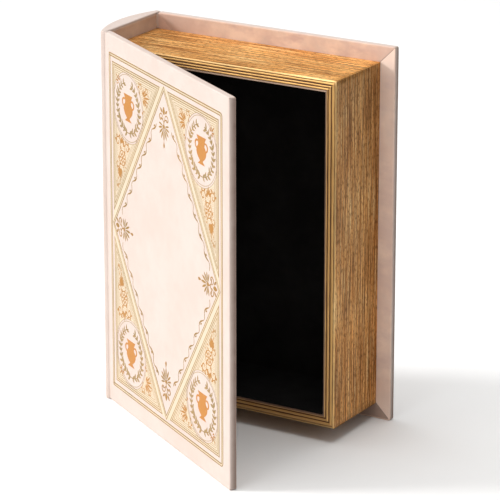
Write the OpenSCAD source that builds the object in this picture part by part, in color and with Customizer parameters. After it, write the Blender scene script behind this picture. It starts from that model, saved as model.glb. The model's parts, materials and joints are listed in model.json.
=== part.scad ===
// Hollow keepsake box in the form of a bound book, standing upright with its
// front cover ajar. X runs from the spine to the fore-edge, Y from the front
// cover to the back cover, Z from tail to head. The origin is the middle of
// the back cover's tail edge.

/* [Covers] */
// Height of both covers and of the spine
cover_h = 270; // [200:1:330]
// Width of a cover from its hinge edge to its fore-edge
cover_w = 191.2; // [150:0.1:240]
// Thickness of the bare fibreboard inside a cover
board_t = 4.5; // [3:0.1:7]
// Thickness of the suede-faced covering sheet
wrap_t = 0.45; // [0.3:0.05:0.8]
// Width of the covering sheet that is turned in over the inner faces
turn_in = 16; // [13:0.5:30]
// Width of the slit where two turned-in strips meet in a mitre
mitre_slit = 0.3; // [0.15:0.05:0.6]
// Radius of the rounded upright edges of a cover
edge_r = 0.9; // [0.5:0.1:1.4]
// Free play between the spine and the hinge edge of a cover
hinge_gap = 0.8; // [0.5:0.1:1.5]
// Angle at which the front cover stands open
rest_open = 32; // [0:1:90]

/* [Spine] */
// Thickness of the spine at its front and back ends
spine_end_t = 3.5; // [2.5:0.1:5]
// How far the rounded spine swells beyond its ends
spine_bulge = 8.1; // [5:0.1:14]
// How far the spine stands proud of the closed front cover
spine_lip = 0.3; // [0.2:0.1:1]

/* [Tray] */
// Depth of the tray, from the back cover to the rim
tray_d = 59.5; // [30:0.5:90]
// Margin of the covers beyond the tray at head and at tail
end_square = 11.5; // [6:0.5:16]
// Margin of the covers beyond the tray at the fore-edge
fore_square = 11.5; // [6:0.5:16]
// Thickness of the fibreboard tray walls
wall_t = 8; // [5:0.5:12]
// Thickness of the gilt page-edge sheet on the outside of the tray
page_t = 0.5; // [0.3:0.1:1]
// Clearance between the rim and the closed front cover
closing_gap = 0.4; // [0.3:0.1:1.5]
// Number of grooves that run along the rim
groove_count = 3; // [1:1:4]
// Distance of the first groove from the outside of the tray
groove_first = 1.3; // [1.2:0.1:2]
// Distance from one groove to the next
groove_pitch = 2.55; // [1.8:0.05:2.8]
// Depth of a rim groove
groove_depth = 0.6; // [0.2:0.05:0.7]

/* [Lining] */
// Thickness of the black pile lining
velvet_t = 0.5; // [0.3:0.1:1.2]
// Thickness of the card under the floor lining
floor_card_t = 2; // [1:0.1:4]
// How far the side linings stop short of the rim
lining_setback = 1; // [0.5:0.1:4]

/* [Gilt stamping] */
// Thickness of the stamped foil
foil_t = 0.1; // [0.05:0.01:0.2]
// Margin from the hinge edge to the outer rule
frame_hinge_margin = 4.8; // [3:0.1:12]
// Margin from the fore-edge to the outer rule
frame_fore_margin = 9.8; // [6:0.1:16]
// Margin from the head to the outer rule
frame_head_margin = 12.6; // [6:0.1:20]
// Margin from the tail to the outer rule
frame_tail_margin = 12.9; // [6:0.1:20]
// Width of the outer rule
outer_rule_w = 2; // [0.8:0.1:3]
// Width of the rules of the corner panels and the lozenge
panel_rule_w = 1.8; // [0.6:0.1:2.6]
// Distance of the corner panels from the outside of the outer rule
panel_inset = 5.5; // [4:0.1:9]
// Clear gap between the corner panels and the lozenge
panel_gap = 3.7; // [2:0.1:8]
// Distance of the lozenge's points from the outside of the outer rule
lozenge_reach = 3.4; // [3:0.1:4]
// Distance of a wreath's centre from the outer rule's sides
wreath_side = 31; // [29:0.5:36]
// Distance of a wreath's centre from the outer rule's head and tail sides
wreath_end = 33; // [29:0.5:38]
// Clear gap between a wreath and its corner panel's rule
wreath_clearance = 3.2; // [1:0.1:6]
// Width of a wreath's leaf ring
wreath_w = 5.5; // [3:0.1:6]
// Clear gap between a wreath's leaf ring and its urn
urn_clearance = 5; // [3:0.1:8]
// Length of a palmette
palmette_l = 28; // [16:0.5:32]
// Distance of the end palmettes from the lozenge's points
palmette_end_gap = 13.5; // [10:0.5:24]
// Distance of the side palmettes from the lozenge's points
palmette_side_gap = 5.5; // [4:0.5:16]

/* [Hidden] */
$fn = 64;

cream = [0.94, 0.89, 0.85];
suede = [0.74, 0.62, 0.56];
fibreboard = [0.55, 0.42, 0.30];
page_gold = [0.80, 0.60, 0.33];
page_bronze = [0.56, 0.42, 0.24];
velvet_black = [0.03, 0.03, 0.03];
foil_gold = [0.85, 0.60, 0.30];
grey_card = [0.5, 0.5, 0.48];

// A small overshoot, so that cuts leave no skin behind
over = 1;
// Clearance between the hinge cloth and the cover that it carries
cloth_play = 0.1;

cover_t = board_t + 2 * wrap_t;
closed_in_y = -(tray_d + closing_gap);
closed_out_y = closed_in_y - cover_t;
spine_front_y = closed_out_y - spine_lip;
spine_back_y = cover_t;
spine_chord = spine_back_y - spine_front_y;
spine_mid_y = (spine_back_y + spine_front_y) / 2;
spine_r = (pow(spine_chord / 2, 2) + pow(spine_bulge, 2)) / (2 * spine_bulge);
spine_axis_x = spine_r - spine_bulge - spine_end_t;

fore_x = hinge_gap + cover_w;
tray_x1 = fore_x - fore_square;
tray_z0 = end_square;
tray_z1 = cover_h - end_square;
// Outside of the fibreboard frame of the tray
frame_x1 = tray_x1 - page_t;
frame_z0 = tray_z0 + page_t;
frame_z1 = tray_z1 - page_t;
// Inside of the fibreboard frame
hold_x0 = wall_t;
hold_x1 = frame_x1 - wall_t;
hold_z0 = frame_z0 + wall_t;
hold_z1 = frame_z1 - wall_t;
floor_y = -(floor_card_t + velvet_t);
lining_front_y = -(tray_d - lining_setback);

// Outer rule of the stamped frame, as seen on the closed front cover
rule_x0 = hinge_gap + frame_hinge_margin;
rule_x1 = fore_x - frame_fore_margin;
rule_z0 = frame_tail_margin;
rule_z1 = cover_h - frame_head_margin;
rule_mid_x = (rule_x0 + rule_x1) / 2;
rule_mid_z = (rule_z0 + rule_z1) / 2;
// Half width and half height of the lozenge, to its outer points
lozenge_half = [(rule_x1 - rule_x0) / 2 - lozenge_reach, (rule_z1 - rule_z0) / 2 - lozenge_reach];
// How far the lozenge's half sizes grow for each millimetre that its sides move out
lozenge_growth = norm(lozenge_half) / (lozenge_half[0] * lozenge_half[1]);
// Middle of a wreath from the middle of the frame, and its room inside the panel's rule
wreath_mid = [(rule_x1 - rule_x0) / 2 - wreath_side, (rule_z1 - rule_z0) / 2 - wreath_end];
wreath_room = min(
    wreath_side - panel_inset, wreath_end - panel_inset,
    (wreath_mid[0] / lozenge_half[0] + wreath_mid[1] / lozenge_half[1] - 1) / lozenge_growth - panel_gap
) - panel_rule_w;
wreath_r = wreath_room - wreath_clearance;
// Reach of the urn's corners from its middle, as a share of its height
urn_reach = norm([0.24, 0.5]);
urn_h = (wreath_r - wreath_w - urn_clearance) / urn_reach;

// Moves a piece from the book's own corner to the origin
module placed() {
    translate([-(hinge_gap + cover_w / 2), -cover_t / 2, 0]) children();
}

// Turns a piece of the closed front cover open about the hinge
module opened() {
    translate([0, spine_front_y, 0]) rotate([0, 0, -rest_open])
        translate([0, -spine_front_y, 0]) children();
}

// A point of the closed front cover's plan, after the cover is opened
function opened_point(p) = let (dx = p[0], dy = p[1] - spine_front_y)
    [dx * cos(rest_open) + dy * sin(rest_open),
     spine_front_y - dx * sin(rest_open) + dy * cos(rest_open)];

// Extrudes a drawing in the X-Z plane from y_near back to y_far
module upright(y_near, y_far) {
    translate([0, y_far, 0]) rotate([90, 0, 0])
        linear_extrude(height = y_far - y_near) children();
}

// A cover's plan with rounded upright edges
module cover_plan(y_low) {
    translate([hinge_gap + edge_r, y_low])
        square([cover_w - 2 * edge_r, cover_t]);
    translate([hinge_gap, y_low + edge_r])
        square([cover_w, cover_t - 2 * edge_r]);
    for (x = [hinge_gap + edge_r, fore_x - edge_r])
        for (y = [y_low + edge_r, y_low + cover_t - edge_r])
            translate([x, y]) circle(r = edge_r);
}

// The bare board of a cover whose lower face is at y_low
module cover_board(y_low) {
    translate([hinge_gap + wrap_t, y_low + wrap_t, wrap_t])
        cube([cover_w - 2 * wrap_t, board_t, cover_h - 2 * wrap_t]);
}

// The window that the turned-in strips leave open on the face at y_low
module cover_window(y_low, depth) {
    translate([hinge_gap + turn_in, y_low, turn_in])
        cube([cover_w - 2 * turn_in, depth, cover_h - 2 * turn_in]);
}

// The mitre slits at the four corners of the turned-in strips
module mitre_slits(y_low, depth) {
    slit_l = (turn_in - 2 * wrap_t) * sqrt(2);
    for (side = [0, 1]) for (end = [0, 1])
        translate([side ? fore_x : hinge_gap, y_low, end ? cover_h : 0])
            rotate([0, 45 * (side == end ? 1 : -1) + (side ? 180 : 0), 0])
                translate([2 * wrap_t * sqrt(2), 0, -mitre_slit / 2])
                    cube([slit_l, depth, mitre_slit]);
}

// The covering sheet of a cover; its turned-in side is the face at in_y
module cover_wrap(y_low, in_low) {
    difference() {
        linear_extrude(height = cover_h) cover_plan(y_low);
        cover_board(y_low);
        cover_window(in_low - over / 2, wrap_t + over);
        mitre_slits(in_low - over / 2, wrap_t + over);
    }
}

// The spine's plan, drawn in by inset all round except at its flat face
module spine_plan(inset, flat_x) {
    intersection() {
        translate([spine_axis_x, spine_mid_y]) circle(r = spine_r - inset, $fn = 180);
        translate([-(spine_bulge + spine_end_t + over), spine_front_y + inset])
            square([spine_bulge + spine_end_t + over + flat_x, spine_chord - 2 * inset]);
    }
}

module back_board() {
    color(fibreboard) placed() cover_board(0);
}

module back_wrap() {
    color(suede) placed() cover_wrap(0, 0);
}

module back_infill() {
    color(grey_card) placed() cover_window(0, wrap_t);
}

// Bridges the joint between the spine and the back cover
module back_joint_cloth() {
    color(cream) placed()
        translate([0, cover_t - wrap_t - edge_r, wrap_t])
            cube([hinge_gap, wrap_t, cover_h - 2 * wrap_t]);
}

module spine_board() {
    color(fibreboard) placed() translate([0, 0, wrap_t])
        linear_extrude(height = cover_h - 2 * wrap_t) spine_plan(wrap_t, -wrap_t);
}

module spine_wrap() {
    color(cream) placed() difference() {
        linear_extrude(height = cover_h) spine_plan(0, 0);
        translate([0, 0, wrap_t])
            linear_extrude(height = cover_h - 2 * wrap_t) spine_plan(wrap_t, over);
    }
}

// The sheet on the flat inner face of the spine
module spine_lining() {
    color(suede) placed()
        translate([-wrap_t, spine_front_y + wrap_t, wrap_t])
            cube([wrap_t, spine_chord - 2 * wrap_t, cover_h - 2 * wrap_t]);
}

// The flexible fold that carries the front cover, as it lies when ajar
module hinge_cloth() {
    out_low = opened_point([hinge_gap - cloth_play, closed_out_y]);
    out_high = opened_point([hinge_gap - cloth_play, closed_out_y + wrap_t]);
    color(cream) placed() translate([0, 0, wrap_t])
        linear_extrude(height = cover_h - 2 * wrap_t)
            polygon([[0, spine_front_y], out_low, out_high, [0, spine_front_y + wrap_t]]);
}

// The grooves of a wall whose outer face is at t = 0 and whose length is X
module rim_grooves(length) {
    side = groove_depth * sqrt(2);
    for (i = [0 : groove_count - 1])
        translate([-over, -tray_d, groove_first - page_t + i * groove_pitch])
            rotate([45, 0, 0]) translate([0, -side / 2, -side / 2])
                cube([length + 2 * over, side, side]);
}

// A mitred wall along X from the outer corner, with its outer face at Z = 0
module tray_wall(length) {
    difference() {
        upright(-tray_d, 0) polygon([
            [0, 0], [length, 0], [length - wall_t, wall_t], [wall_t, wall_t]]);
        rim_grooves(length);
    }
}

// Stand a wall that is drawn along X on each side of the tray
module on_tail() { translate([0, 0, frame_z0]) children(); }
module on_head() { translate([0, 0, frame_z1]) mirror([0, 0, 1]) children(); }
module on_spine_side() {
    translate([0, 0, frame_z0]) mirror([1, 0, 0]) rotate([0, -90, 0]) children();
}
module on_fore_edge() {
    translate([frame_x1, 0, frame_z0]) rotate([0, -90, 0]) children();
}

module tail_wall() {
    color(page_bronze) placed() on_tail() tray_wall(frame_x1);
}

module head_wall() {
    color(page_bronze) placed() on_head() tray_wall(frame_x1);
}

module fore_edge_wall() {
    color(page_bronze) placed() on_fore_edge() tray_wall(frame_z1 - frame_z0);
}

module spine_side_wall() {
    color(page_bronze) placed() on_spine_side() tray_wall(frame_z1 - frame_z0);
}

// A gilt sheet along X, butted at the spine and mitred at the fore-edge
module end_page_sheet() {
    upright(-tray_d, 0) polygon([
        [0, -page_t], [tray_x1, -page_t], [frame_x1, 0], [0, 0]]);
}

module tail_page_sheet() {
    color(page_gold) placed() on_tail() end_page_sheet();
}

module head_page_sheet() {
    color(page_gold) placed() on_head() end_page_sheet();
}

module fore_edge_page_sheet() {
    color(page_bronze) placed() on_fore_edge() upright(-tray_d, 0) polygon([
        [-page_t, -page_t], [frame_z1 - frame_z0 + page_t, -page_t],
        [frame_z1 - frame_z0, 0], [0, 0]]);
}

module floor_card() {
    color(grey_card) placed() translate([hold_x0, -floor_card_t, hold_z0])
        cube([hold_x1 - hold_x0, floor_card_t, hold_z1 - hold_z0]);
}

module floor_velvet() {
    color(velvet_black) placed() translate([hold_x0, floor_y, hold_z0])
        cube([hold_x1 - hold_x0, velvet_t, hold_z1 - hold_z0]);
}

// A mitred lining strip on the inside of a wall that is drawn along X
module side_velvet(length) {
    upright(lining_front_y, floor_y) translate([0, wall_t]) polygon([
        [wall_t, 0], [length - wall_t, 0],
        [length - wall_t - velvet_t, velvet_t], [wall_t + velvet_t, velvet_t]]);
}

module tail_velvet() {
    color(velvet_black) placed() on_tail() side_velvet(frame_x1);
}

module head_velvet() {
    color(velvet_black) placed() on_head() side_velvet(frame_x1);
}

module fore_edge_velvet() {
    color(velvet_black) placed() on_fore_edge() side_velvet(frame_z1 - frame_z0);
}

module spine_side_velvet() {
    color(velvet_black) placed() on_spine_side() side_velvet(frame_z1 - frame_z0);
}

module front_board() {
    color(fibreboard) placed() opened() cover_board(closed_out_y);
}

module front_wrap() {
    color(cream) placed() opened() cover_wrap(closed_out_y, closed_in_y - wrap_t);
}

module front_lining() {
    color(suede) placed() opened() cover_window(closed_in_y - wrap_t, wrap_t);
}

// Lays a flat drawing in the X-Z plane on the front cover as foil
module stamped() {
    placed() opened() upright(closed_out_y - foil_t, closed_out_y) children();
}

// The rectangle of the stamped frame, drawn in by inset
module frame_plan(inset) {
    translate([rule_x0 + inset, rule_z0 + inset])
        square([rule_x1 - rule_x0 - 2 * inset, rule_z1 - rule_z0 - 2 * inset]);
}

module gilt_border() {
    color(foil_gold) stamped() difference() {
        frame_plan(0);
        frame_plan(outer_rule_w);
    }
}

// The lozenge with its sides moved outwards by reach, square to themselves
module lozenge_plan(reach) {
    half = lozenge_half * (1 + reach * lozenge_growth);
    translate([rule_mid_x, rule_mid_z])
        polygon([[half[0], 0], [0, half[1]], [-half[0], 0], [0, -half[1]]]);
}

// The four triangles between the frame and the lozenge, drawn in by inset
module corner_plan(inset) {
    difference() {
        frame_plan(panel_inset + inset);
        lozenge_plan(panel_gap + inset);
    }
}

module gilt_corner_panels() {
    color(foil_gold) stamped() difference() {
        corner_plan(0);
        corner_plan(panel_rule_w);
    }
}

module gilt_lozenge() {
    color(foil_gold) stamped() difference() {
        lozenge_plan(0);
        lozenge_plan(-panel_rule_w);
    }
}

// Half of the urn's outline, as fractions of its height
function urn_side() = [
    [0.22, 0], [0.22, 0.08], [0.07, 0.16], [0.2, 0.3], [0.29, 0.48], [0.29, 0.62],
    [0.17, 0.72], [0.13, 0.84], [0.24, 0.92], [0.24, 1]
];

// A two-handled urn, as high as urn_h and standing about the origin
module urn_plan() {
    side = [for (p = urn_side()) [p[0], p[1] - 0.5] * urn_h];
    points = len(side);
    polygon(concat(side, [for (i = [1 : points]) [-side[points - i][0], side[points - i][1]]]));
    for (turn = [-1, 1])
        translate([turn * 0.26 * urn_h, 0.22 * urn_h]) difference() {
            circle(r = 0.13 * urn_h);
            circle(r = 0.08 * urn_h);
        }
}

// A leaf ring with an urn inside it
module wreath_plan() {
    difference() {
        circle(r = wreath_r);
        circle(r = wreath_r - wreath_w);
    }
    urn_plan();
}

module gilt_wreaths() {
    color(foil_gold) stamped()
        for (side = [-1, 1])
            for (end = [-1, 1])
                translate([rule_mid_x + side * wreath_mid[0], rule_mid_z + end * wreath_mid[1]])
                    wreath_plan();
}

// A pointed leaf that lies along +X from the origin
module leaf_plan(long, wide) {
    polygon([[0, 0], [long * 0.6, wide / 2], [long, 0], [long * 0.6, -wide / 2]]);
}

// A stem with a bud, two scrolls and a fan of leaves, along +X from the origin
module palmette_plan() {
    leaf_w = palmette_l * 0.09;
    translate([palmette_l * 0.06, 0]) circle(r = palmette_l * 0.06);
    translate([palmette_l * 0.06, -leaf_w * 0.3]) square([palmette_l * 0.5, leaf_w * 0.6]);
    for (turn = [-1, 1])
        translate([palmette_l * 0.3, turn * palmette_l * 0.12]) circle(r = palmette_l * 0.1);
    for (i = [-4 : 4])
        translate([palmette_l * 0.46, 0]) rotate(i * 24)
            leaf_plan(palmette_l * (0.54 - 0.055 * abs(i)), leaf_w);
}

module gilt_palmettes() {
    color(foil_gold) stamped() translate([rule_mid_x, rule_mid_z])
        for (i = [0 : 3])
            rotate(i * 90)
                translate([lozenge_half[i % 2] - (i % 2 == 0 ? palmette_side_gap : palmette_end_gap), 0])
                    rotate(180) palmette_plan();
}

back_board();
back_wrap();
back_infill();
back_joint_cloth();
spine_board();
spine_wrap();
spine_lining();
hinge_cloth();
head_wall();
tail_wall();
fore_edge_wall();
spine_side_wall();
head_page_sheet();
tail_page_sheet();
fore_edge_page_sheet();
floor_card();
floor_velvet();
head_velvet();
tail_velvet();
fore_edge_velvet();
spine_side_velvet();
front_board();
front_wrap();
front_lining();
gilt_border();
gilt_corner_panels();
gilt_lozenge();
gilt_wreaths();
gilt_palmettes();
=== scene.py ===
"""Finish of a hollow keepsake box in the form of a bound book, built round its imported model.

All lengths are in metres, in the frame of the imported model: X runs from the spine to the
fore-edge, Y from the front cover to the back cover, Z from tail to head. The front cover's
pieces are drawn closed and then swung open about the hinge, as the cover rests in the model.
"""

import json
import logging
import math
from collections.abc import Callable, Iterable, Sequence
from dataclasses import dataclass, field
from enum import Enum
from functools import cache

import bmesh
import bpy
import numpy as np
from mathutils import Matrix, Vector, noise


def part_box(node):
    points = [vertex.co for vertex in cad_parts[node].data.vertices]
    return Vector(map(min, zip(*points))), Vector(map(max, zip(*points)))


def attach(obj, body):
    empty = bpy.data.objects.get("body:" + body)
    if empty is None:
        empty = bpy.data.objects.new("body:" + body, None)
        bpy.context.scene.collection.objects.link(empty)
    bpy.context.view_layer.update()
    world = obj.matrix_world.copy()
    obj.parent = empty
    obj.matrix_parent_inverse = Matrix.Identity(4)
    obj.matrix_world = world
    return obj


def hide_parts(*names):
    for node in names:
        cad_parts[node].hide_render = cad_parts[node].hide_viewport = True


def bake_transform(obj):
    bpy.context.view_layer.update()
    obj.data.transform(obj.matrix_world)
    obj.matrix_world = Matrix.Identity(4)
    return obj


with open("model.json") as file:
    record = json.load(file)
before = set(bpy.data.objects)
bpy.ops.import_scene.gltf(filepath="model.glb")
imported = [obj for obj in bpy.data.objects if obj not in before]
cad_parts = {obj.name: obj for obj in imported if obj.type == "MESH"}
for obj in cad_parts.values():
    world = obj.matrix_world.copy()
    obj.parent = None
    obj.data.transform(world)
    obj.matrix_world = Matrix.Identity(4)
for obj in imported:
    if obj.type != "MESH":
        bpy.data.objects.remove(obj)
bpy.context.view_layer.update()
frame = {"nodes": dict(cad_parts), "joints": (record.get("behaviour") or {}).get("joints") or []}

LOG = logging.getLogger("book_box")
MM = 0.001
EX, EY, EZ = Vector((1, 0, 0)), Vector((0, 1, 0)), Vector((0, 0, 1))
Colour = Triple = tuple[float, float, float]
Point2 = tuple[float, float]
Faces = list[tuple[int, ...]]
Piece = bpy.types.Object
Mesh = bpy.types.Mesh
Material = bpy.types.Material
Socket = bpy.types.NodeSocket


def dimmed(colour: Colour, share: float) -> Colour:
    """Returns a colour at a share of its brightness."""
    return tuple(channel * share for channel in colour)


def waves(points: np.ndarray, pitch: float, seed: int) -> np.ndarray:
    """Returns smooth noise of about -1 to 1 at each point, with waves about a pitch apart."""
    shift = Vector((7.31, 3.17, 5.73)) * seed
    return np.array([noise.noise(Vector(point) / pitch + shift) for point in points])


def fading(distance: np.ndarray, reach: float) -> np.ndarray:
    """Returns 1 at no distance, about a third at the reach and nearly nothing further off."""
    return np.exp(-(distance / reach) ** 2)


@dataclass(frozen=True)
class Undulation:
    """Shallow waves of a sheet that is pasted on a board, with finer waves over them."""

    seed: int
    depth: float = 0.05 * MM
    pitch: float = 50 * MM
    fine: float = 0.3

    def at(self, points: np.ndarray) -> np.ndarray:
        """Returns how far the sheet lies below its highest level at each point."""
        small = self.fine * waves(points, self.pitch * self.fine, self.seed + 1)
        return self.depth * (1 + self.fine - waves(points, self.pitch, self.seed) - small)


class Number:
    """A number that a node tree works out, for plain arithmetic."""

    def __init__(self, graph: "Graph", socket: Socket) -> None:
        """Keeps the tree and the output that gives the number."""
        self.graph, self.socket = graph, socket

    def __add__(self, other: "Value") -> "Number":
        """Adds a value."""
        return self.graph.math("ADD", self, other)

    def __sub__(self, other: "Value") -> "Number":
        """Takes a value from the number."""
        return self.graph.math("SUBTRACT", self, other)

    def __rsub__(self, other: "Value") -> "Number":
        """Takes the number from a value."""
        return self.graph.math("SUBTRACT", other, self)

    def __mul__(self, other: "Value") -> "Number":
        """Multiplies by a value."""
        return self.graph.math("MULTIPLY", self, other)

    def __truediv__(self, other: "Value") -> "Number":
        """Divides by a value."""
        return self.graph.math("DIVIDE", self, other)

    def __abs__(self) -> "Number":
        """Drops the sign."""
        return self.graph.math("ABSOLUTE", self)


Value = Number | Socket | float | tuple


class Graph:
    """A node tree that is filled by short calls."""

    def __init__(self, tree: bpy.types.NodeTree) -> None:
        """Keeps the tree to fill."""
        self.tree = tree

    def feed(self, socket: Socket, value: Value) -> None:
        """Links a socket to an input, or sets the input's own value.

        Args:
            socket: The input.
            value: A number or socket of the tree, or a plain value.
        """
        value = value.socket if isinstance(value, Number) else value
        if isinstance(value, Socket):
            self.tree.links.new(value, socket)
        else:
            socket.default_value = (*value, 1.0) if socket.type == "RGBA" else value

    def add(self, kind: str, inputs: dict | None = None, **settings: object) -> bpy.types.Node:
        """Adds a node.

        Args:
            kind: Blender's name of the node type.
            inputs: Values or sockets by the name or number of the input.
            settings: Properties of the node.

        Returns:
            The new node.
        """
        node = self.tree.nodes.new(kind)
        for key, value in settings.items():
            setattr(node, key, value)
        for key, value in (inputs or {}).items():
            self.feed(node.inputs[key], value)
        return node

    def number(self, kind: str, inputs: dict | None = None, output: int | str = 0,
               **settings: object) -> Number:
        """Adds a node and returns one of its outputs as a number."""
        return Number(self, self.add(kind, inputs, **settings).outputs[output])

    def math(self, operation: str, *values: Value) -> Number:
        """Adds a math node and returns its result."""
        return self.number("ShaderNodeMath", dict(enumerate(values)), operation=operation)

    def clipped(self, value: Value, low: Value, high: Value) -> Number:
        """Keeps a value between two others."""
        return self.math("MAXIMUM", self.math("MINIMUM", value, high), low)

    def combine(self, x: Value, y: Value, z: Value) -> Socket:
        """Joins three numbers into a vector."""
        return self.add("ShaderNodeCombineXYZ", {0: x, 1: y, 2: z}).outputs[0]

    def separate(self, vector: Socket) -> list[Number]:
        """Splits a vector into its three numbers."""
        return [Number(self, part) for part in self.add("ShaderNodeSeparateXYZ", {0: vector}).outputs]

    def stretched(self, vector: Value, stretch: Triple) -> Socket:
        """Multiplies a vector by three factors."""
        return self.add("ShaderNodeVectorMath", {0: vector, 1: stretch}, operation="MULTIPLY").outputs[0]

    def noise(self, vector: Value, scale: float | tuple, detail: float = 2.0) -> Number:
        """Samples noise of 0 to 1 at a vector.

        Args:
            vector: Where the noise is sampled.
            scale: Waves in a metre, or as many along X, Y and Z.
            detail: Layers of finer noise.

        Returns:
            The noise.
        """
        if isinstance(scale, tuple):
            vector, scale = self.stretched(vector, scale), 1.0
        inputs = {"Vector": vector, "Scale": scale, "Detail": detail, "Roughness": 0.6}
        return self.number("ShaderNodeTexNoise", inputs, "Fac")

    def spread(self, value: Value, low: float, high: float, start: float = 0.0, end: float = 1.0) -> Number:
        """Maps the range from low to high onto the range from start to end, and clips the rest."""
        return self.number("ShaderNodeMapRange", {0: value, 1: low, 2: high, 3: start, 4: end})


class Shading(Graph):
    """The node tree of one material, whose colour is painted in coats."""

    def __init__(self, name: str) -> None:
        """Makes an empty material with a surface shader.

        Args:
            name: Name of the finish.
        """
        self.material = bpy.data.materials.new("finish_" + name)
        self.material.use_nodes = True
        super().__init__(self.material.node_tree)
        self.tree.nodes.clear()
        self.surface = self.add("ShaderNodeBsdfPrincipled")
        self.add("ShaderNodeOutputMaterial", {"Surface": self.surface.outputs[0]})
        self.colour: Value = (0.0, 0.0, 0.0)

    def place(self) -> Socket:
        """Returns the place in the piece's own frame, in metres."""
        return self.add("ShaderNodeTexCoord").outputs["Object"]

    def sheet_place(self) -> Socket:
        """Returns the distances along and across a sheet, in metres."""
        return self.add("ShaderNodeUVMap", uv_map="UVMap").outputs[0]

    def attribute(self, name: str) -> Number:
        """Returns a number that the mesh carries under a name."""
        return self.number("ShaderNodeAttribute", output="Fac", attribute_name=name)

    def mix(self, amount: Value, first: Value, second: Value) -> Socket:
        """Mixes two colours."""
        return self.add("ShaderNodeMix", {0: amount, 6: first, 7: second}, data_type="RGBA").outputs[2]

    def coat(self, colour: Value, amount: Value) -> None:
        """Paints a colour over the coats so far, by an amount from 0 to 1."""
        self.colour = self.mix(amount, self.colour, colour)

    def bump(self, height: Value, distance: float, strength: float) -> Socket:
        """Turns a height into a bumpy normal."""
        inputs = {"Height": height, "Distance": distance, "Strength": strength}
        return self.add("ShaderNodeBump", inputs).outputs[0]

    def finished(self, **values: Value) -> Material:
        """Sets or links inputs of the surface shader and returns the material.

        Args:
            values: Values or sockets by the input's name, with _ for a space.

        Returns:
            The material.
        """
        for key, value in {"Base_Color": self.colour, **values}.items():
            self.feed(self.surface.inputs[key.replace("_", " ")], value)
        return self.material


@dataclass(frozen=True)
class Suede:
    """Suede-faced covering sheet with a short nap, mottled by handling; the turned-in strips get a pinker,
    more saturated copy of its colour as painted shade.
    """

    name: str
    base: Colour
    mottle: Colour
    shade: Colour
    # Painted shade: the covering's colour and mottle as they look in shade, used on the turned-in strips
    # inside the box.
    shaded_inner_base: Colour = (0.78, 0.57, 0.445)
    shaded_inner_mottle: Colour = (0.60, 0.40, 0.32)
    # Painted light: a pale colour laid on the fore-edge turned-in strips where light falls on them.
    brushed: Colour = (1.0, 0.79, 0.66)
    bruised: Colour = (0.52, 0.34, 0.30)
    mottle_waves: float = 26.0
    nap_waves: float = 1900.0
    stroke_waves: Triple = (260.0, 260.0, 60.0)
    nap_depth: float = 0.12 * MM

    def material(self) -> Material:
        """Builds the material from mottling, bruises, painted light on the fore-edge strips, painted shade at
        the fore-edge edges, under the tray and in the head corner, and dark seams.

        Returns:
            The material.
        """
        s = Shading(self.name)
        place, inner = s.place(), s.attribute("turned_in")
        broad = s.spread(s.noise(place, self.mottle_waves, 4.0), 0.40, 0.62)
        cloud = s.spread(s.noise(place, self.mottle_waves * 3.4, 3.0), 0.45, 0.75)
        patch = s.spread(s.noise(place, self.mottle_waves * 0.6, 3.0), 0.50, 0.60)
        bruise = s.noise(s.stretched(place, (1.0, 1.0, 2.2)), self.mottle_waves * 1.1, 4.0)
        nap = s.noise(place, self.nap_waves)
        strokes = s.noise(place, self.stroke_waves, 3.0)
        # Painted shade: turned-in points take the covering's shaded colours.
        s.colour = s.mix(inner, self.base, self.shaded_inner_base)
        s.coat(s.mix(inner, self.mottle, self.shaded_inner_mottle), broad)
        s.coat(self.shade, cloud * (inner * 0.25 + 0.3))
        s.coat(self.shaded_inner_mottle, patch * inner * 0.45)
        s.coat(self.bruised, s.spread(bruise, 0.50, 0.63) * inner * 0.7)
        # Painted light on the fore-edge turned-in strips.
        s.coat(self.brushed, s.attribute("brushed") * 0.62)
        s.coat(self.shade, s.spread(nap, 0.35, 0.7) * 0.1)
        # Painted shade: a dark copy of the inner mottle on the shaded fore-edge edges, under the tray at the
        # tail and in the corner by the spine.
        s.coat(dimmed(self.shaded_inner_mottle, 0.34), s.attribute("handled") * (cloud * 0.14 + 0.86))
        s.coat(dimmed(self.shade, 0.25), s.spread(s.attribute("seam"), 0.0, 1.0) * 0.85)
        return s.finished(Roughness=0.86, Specular_IOR_Level=0.25, Sheen_Weight=0.12, Sheen_Roughness=0.5,
                          Normal=s.bump(nap * 0.55 + strokes * 0.45, self.nap_depth, 0.5))


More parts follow.
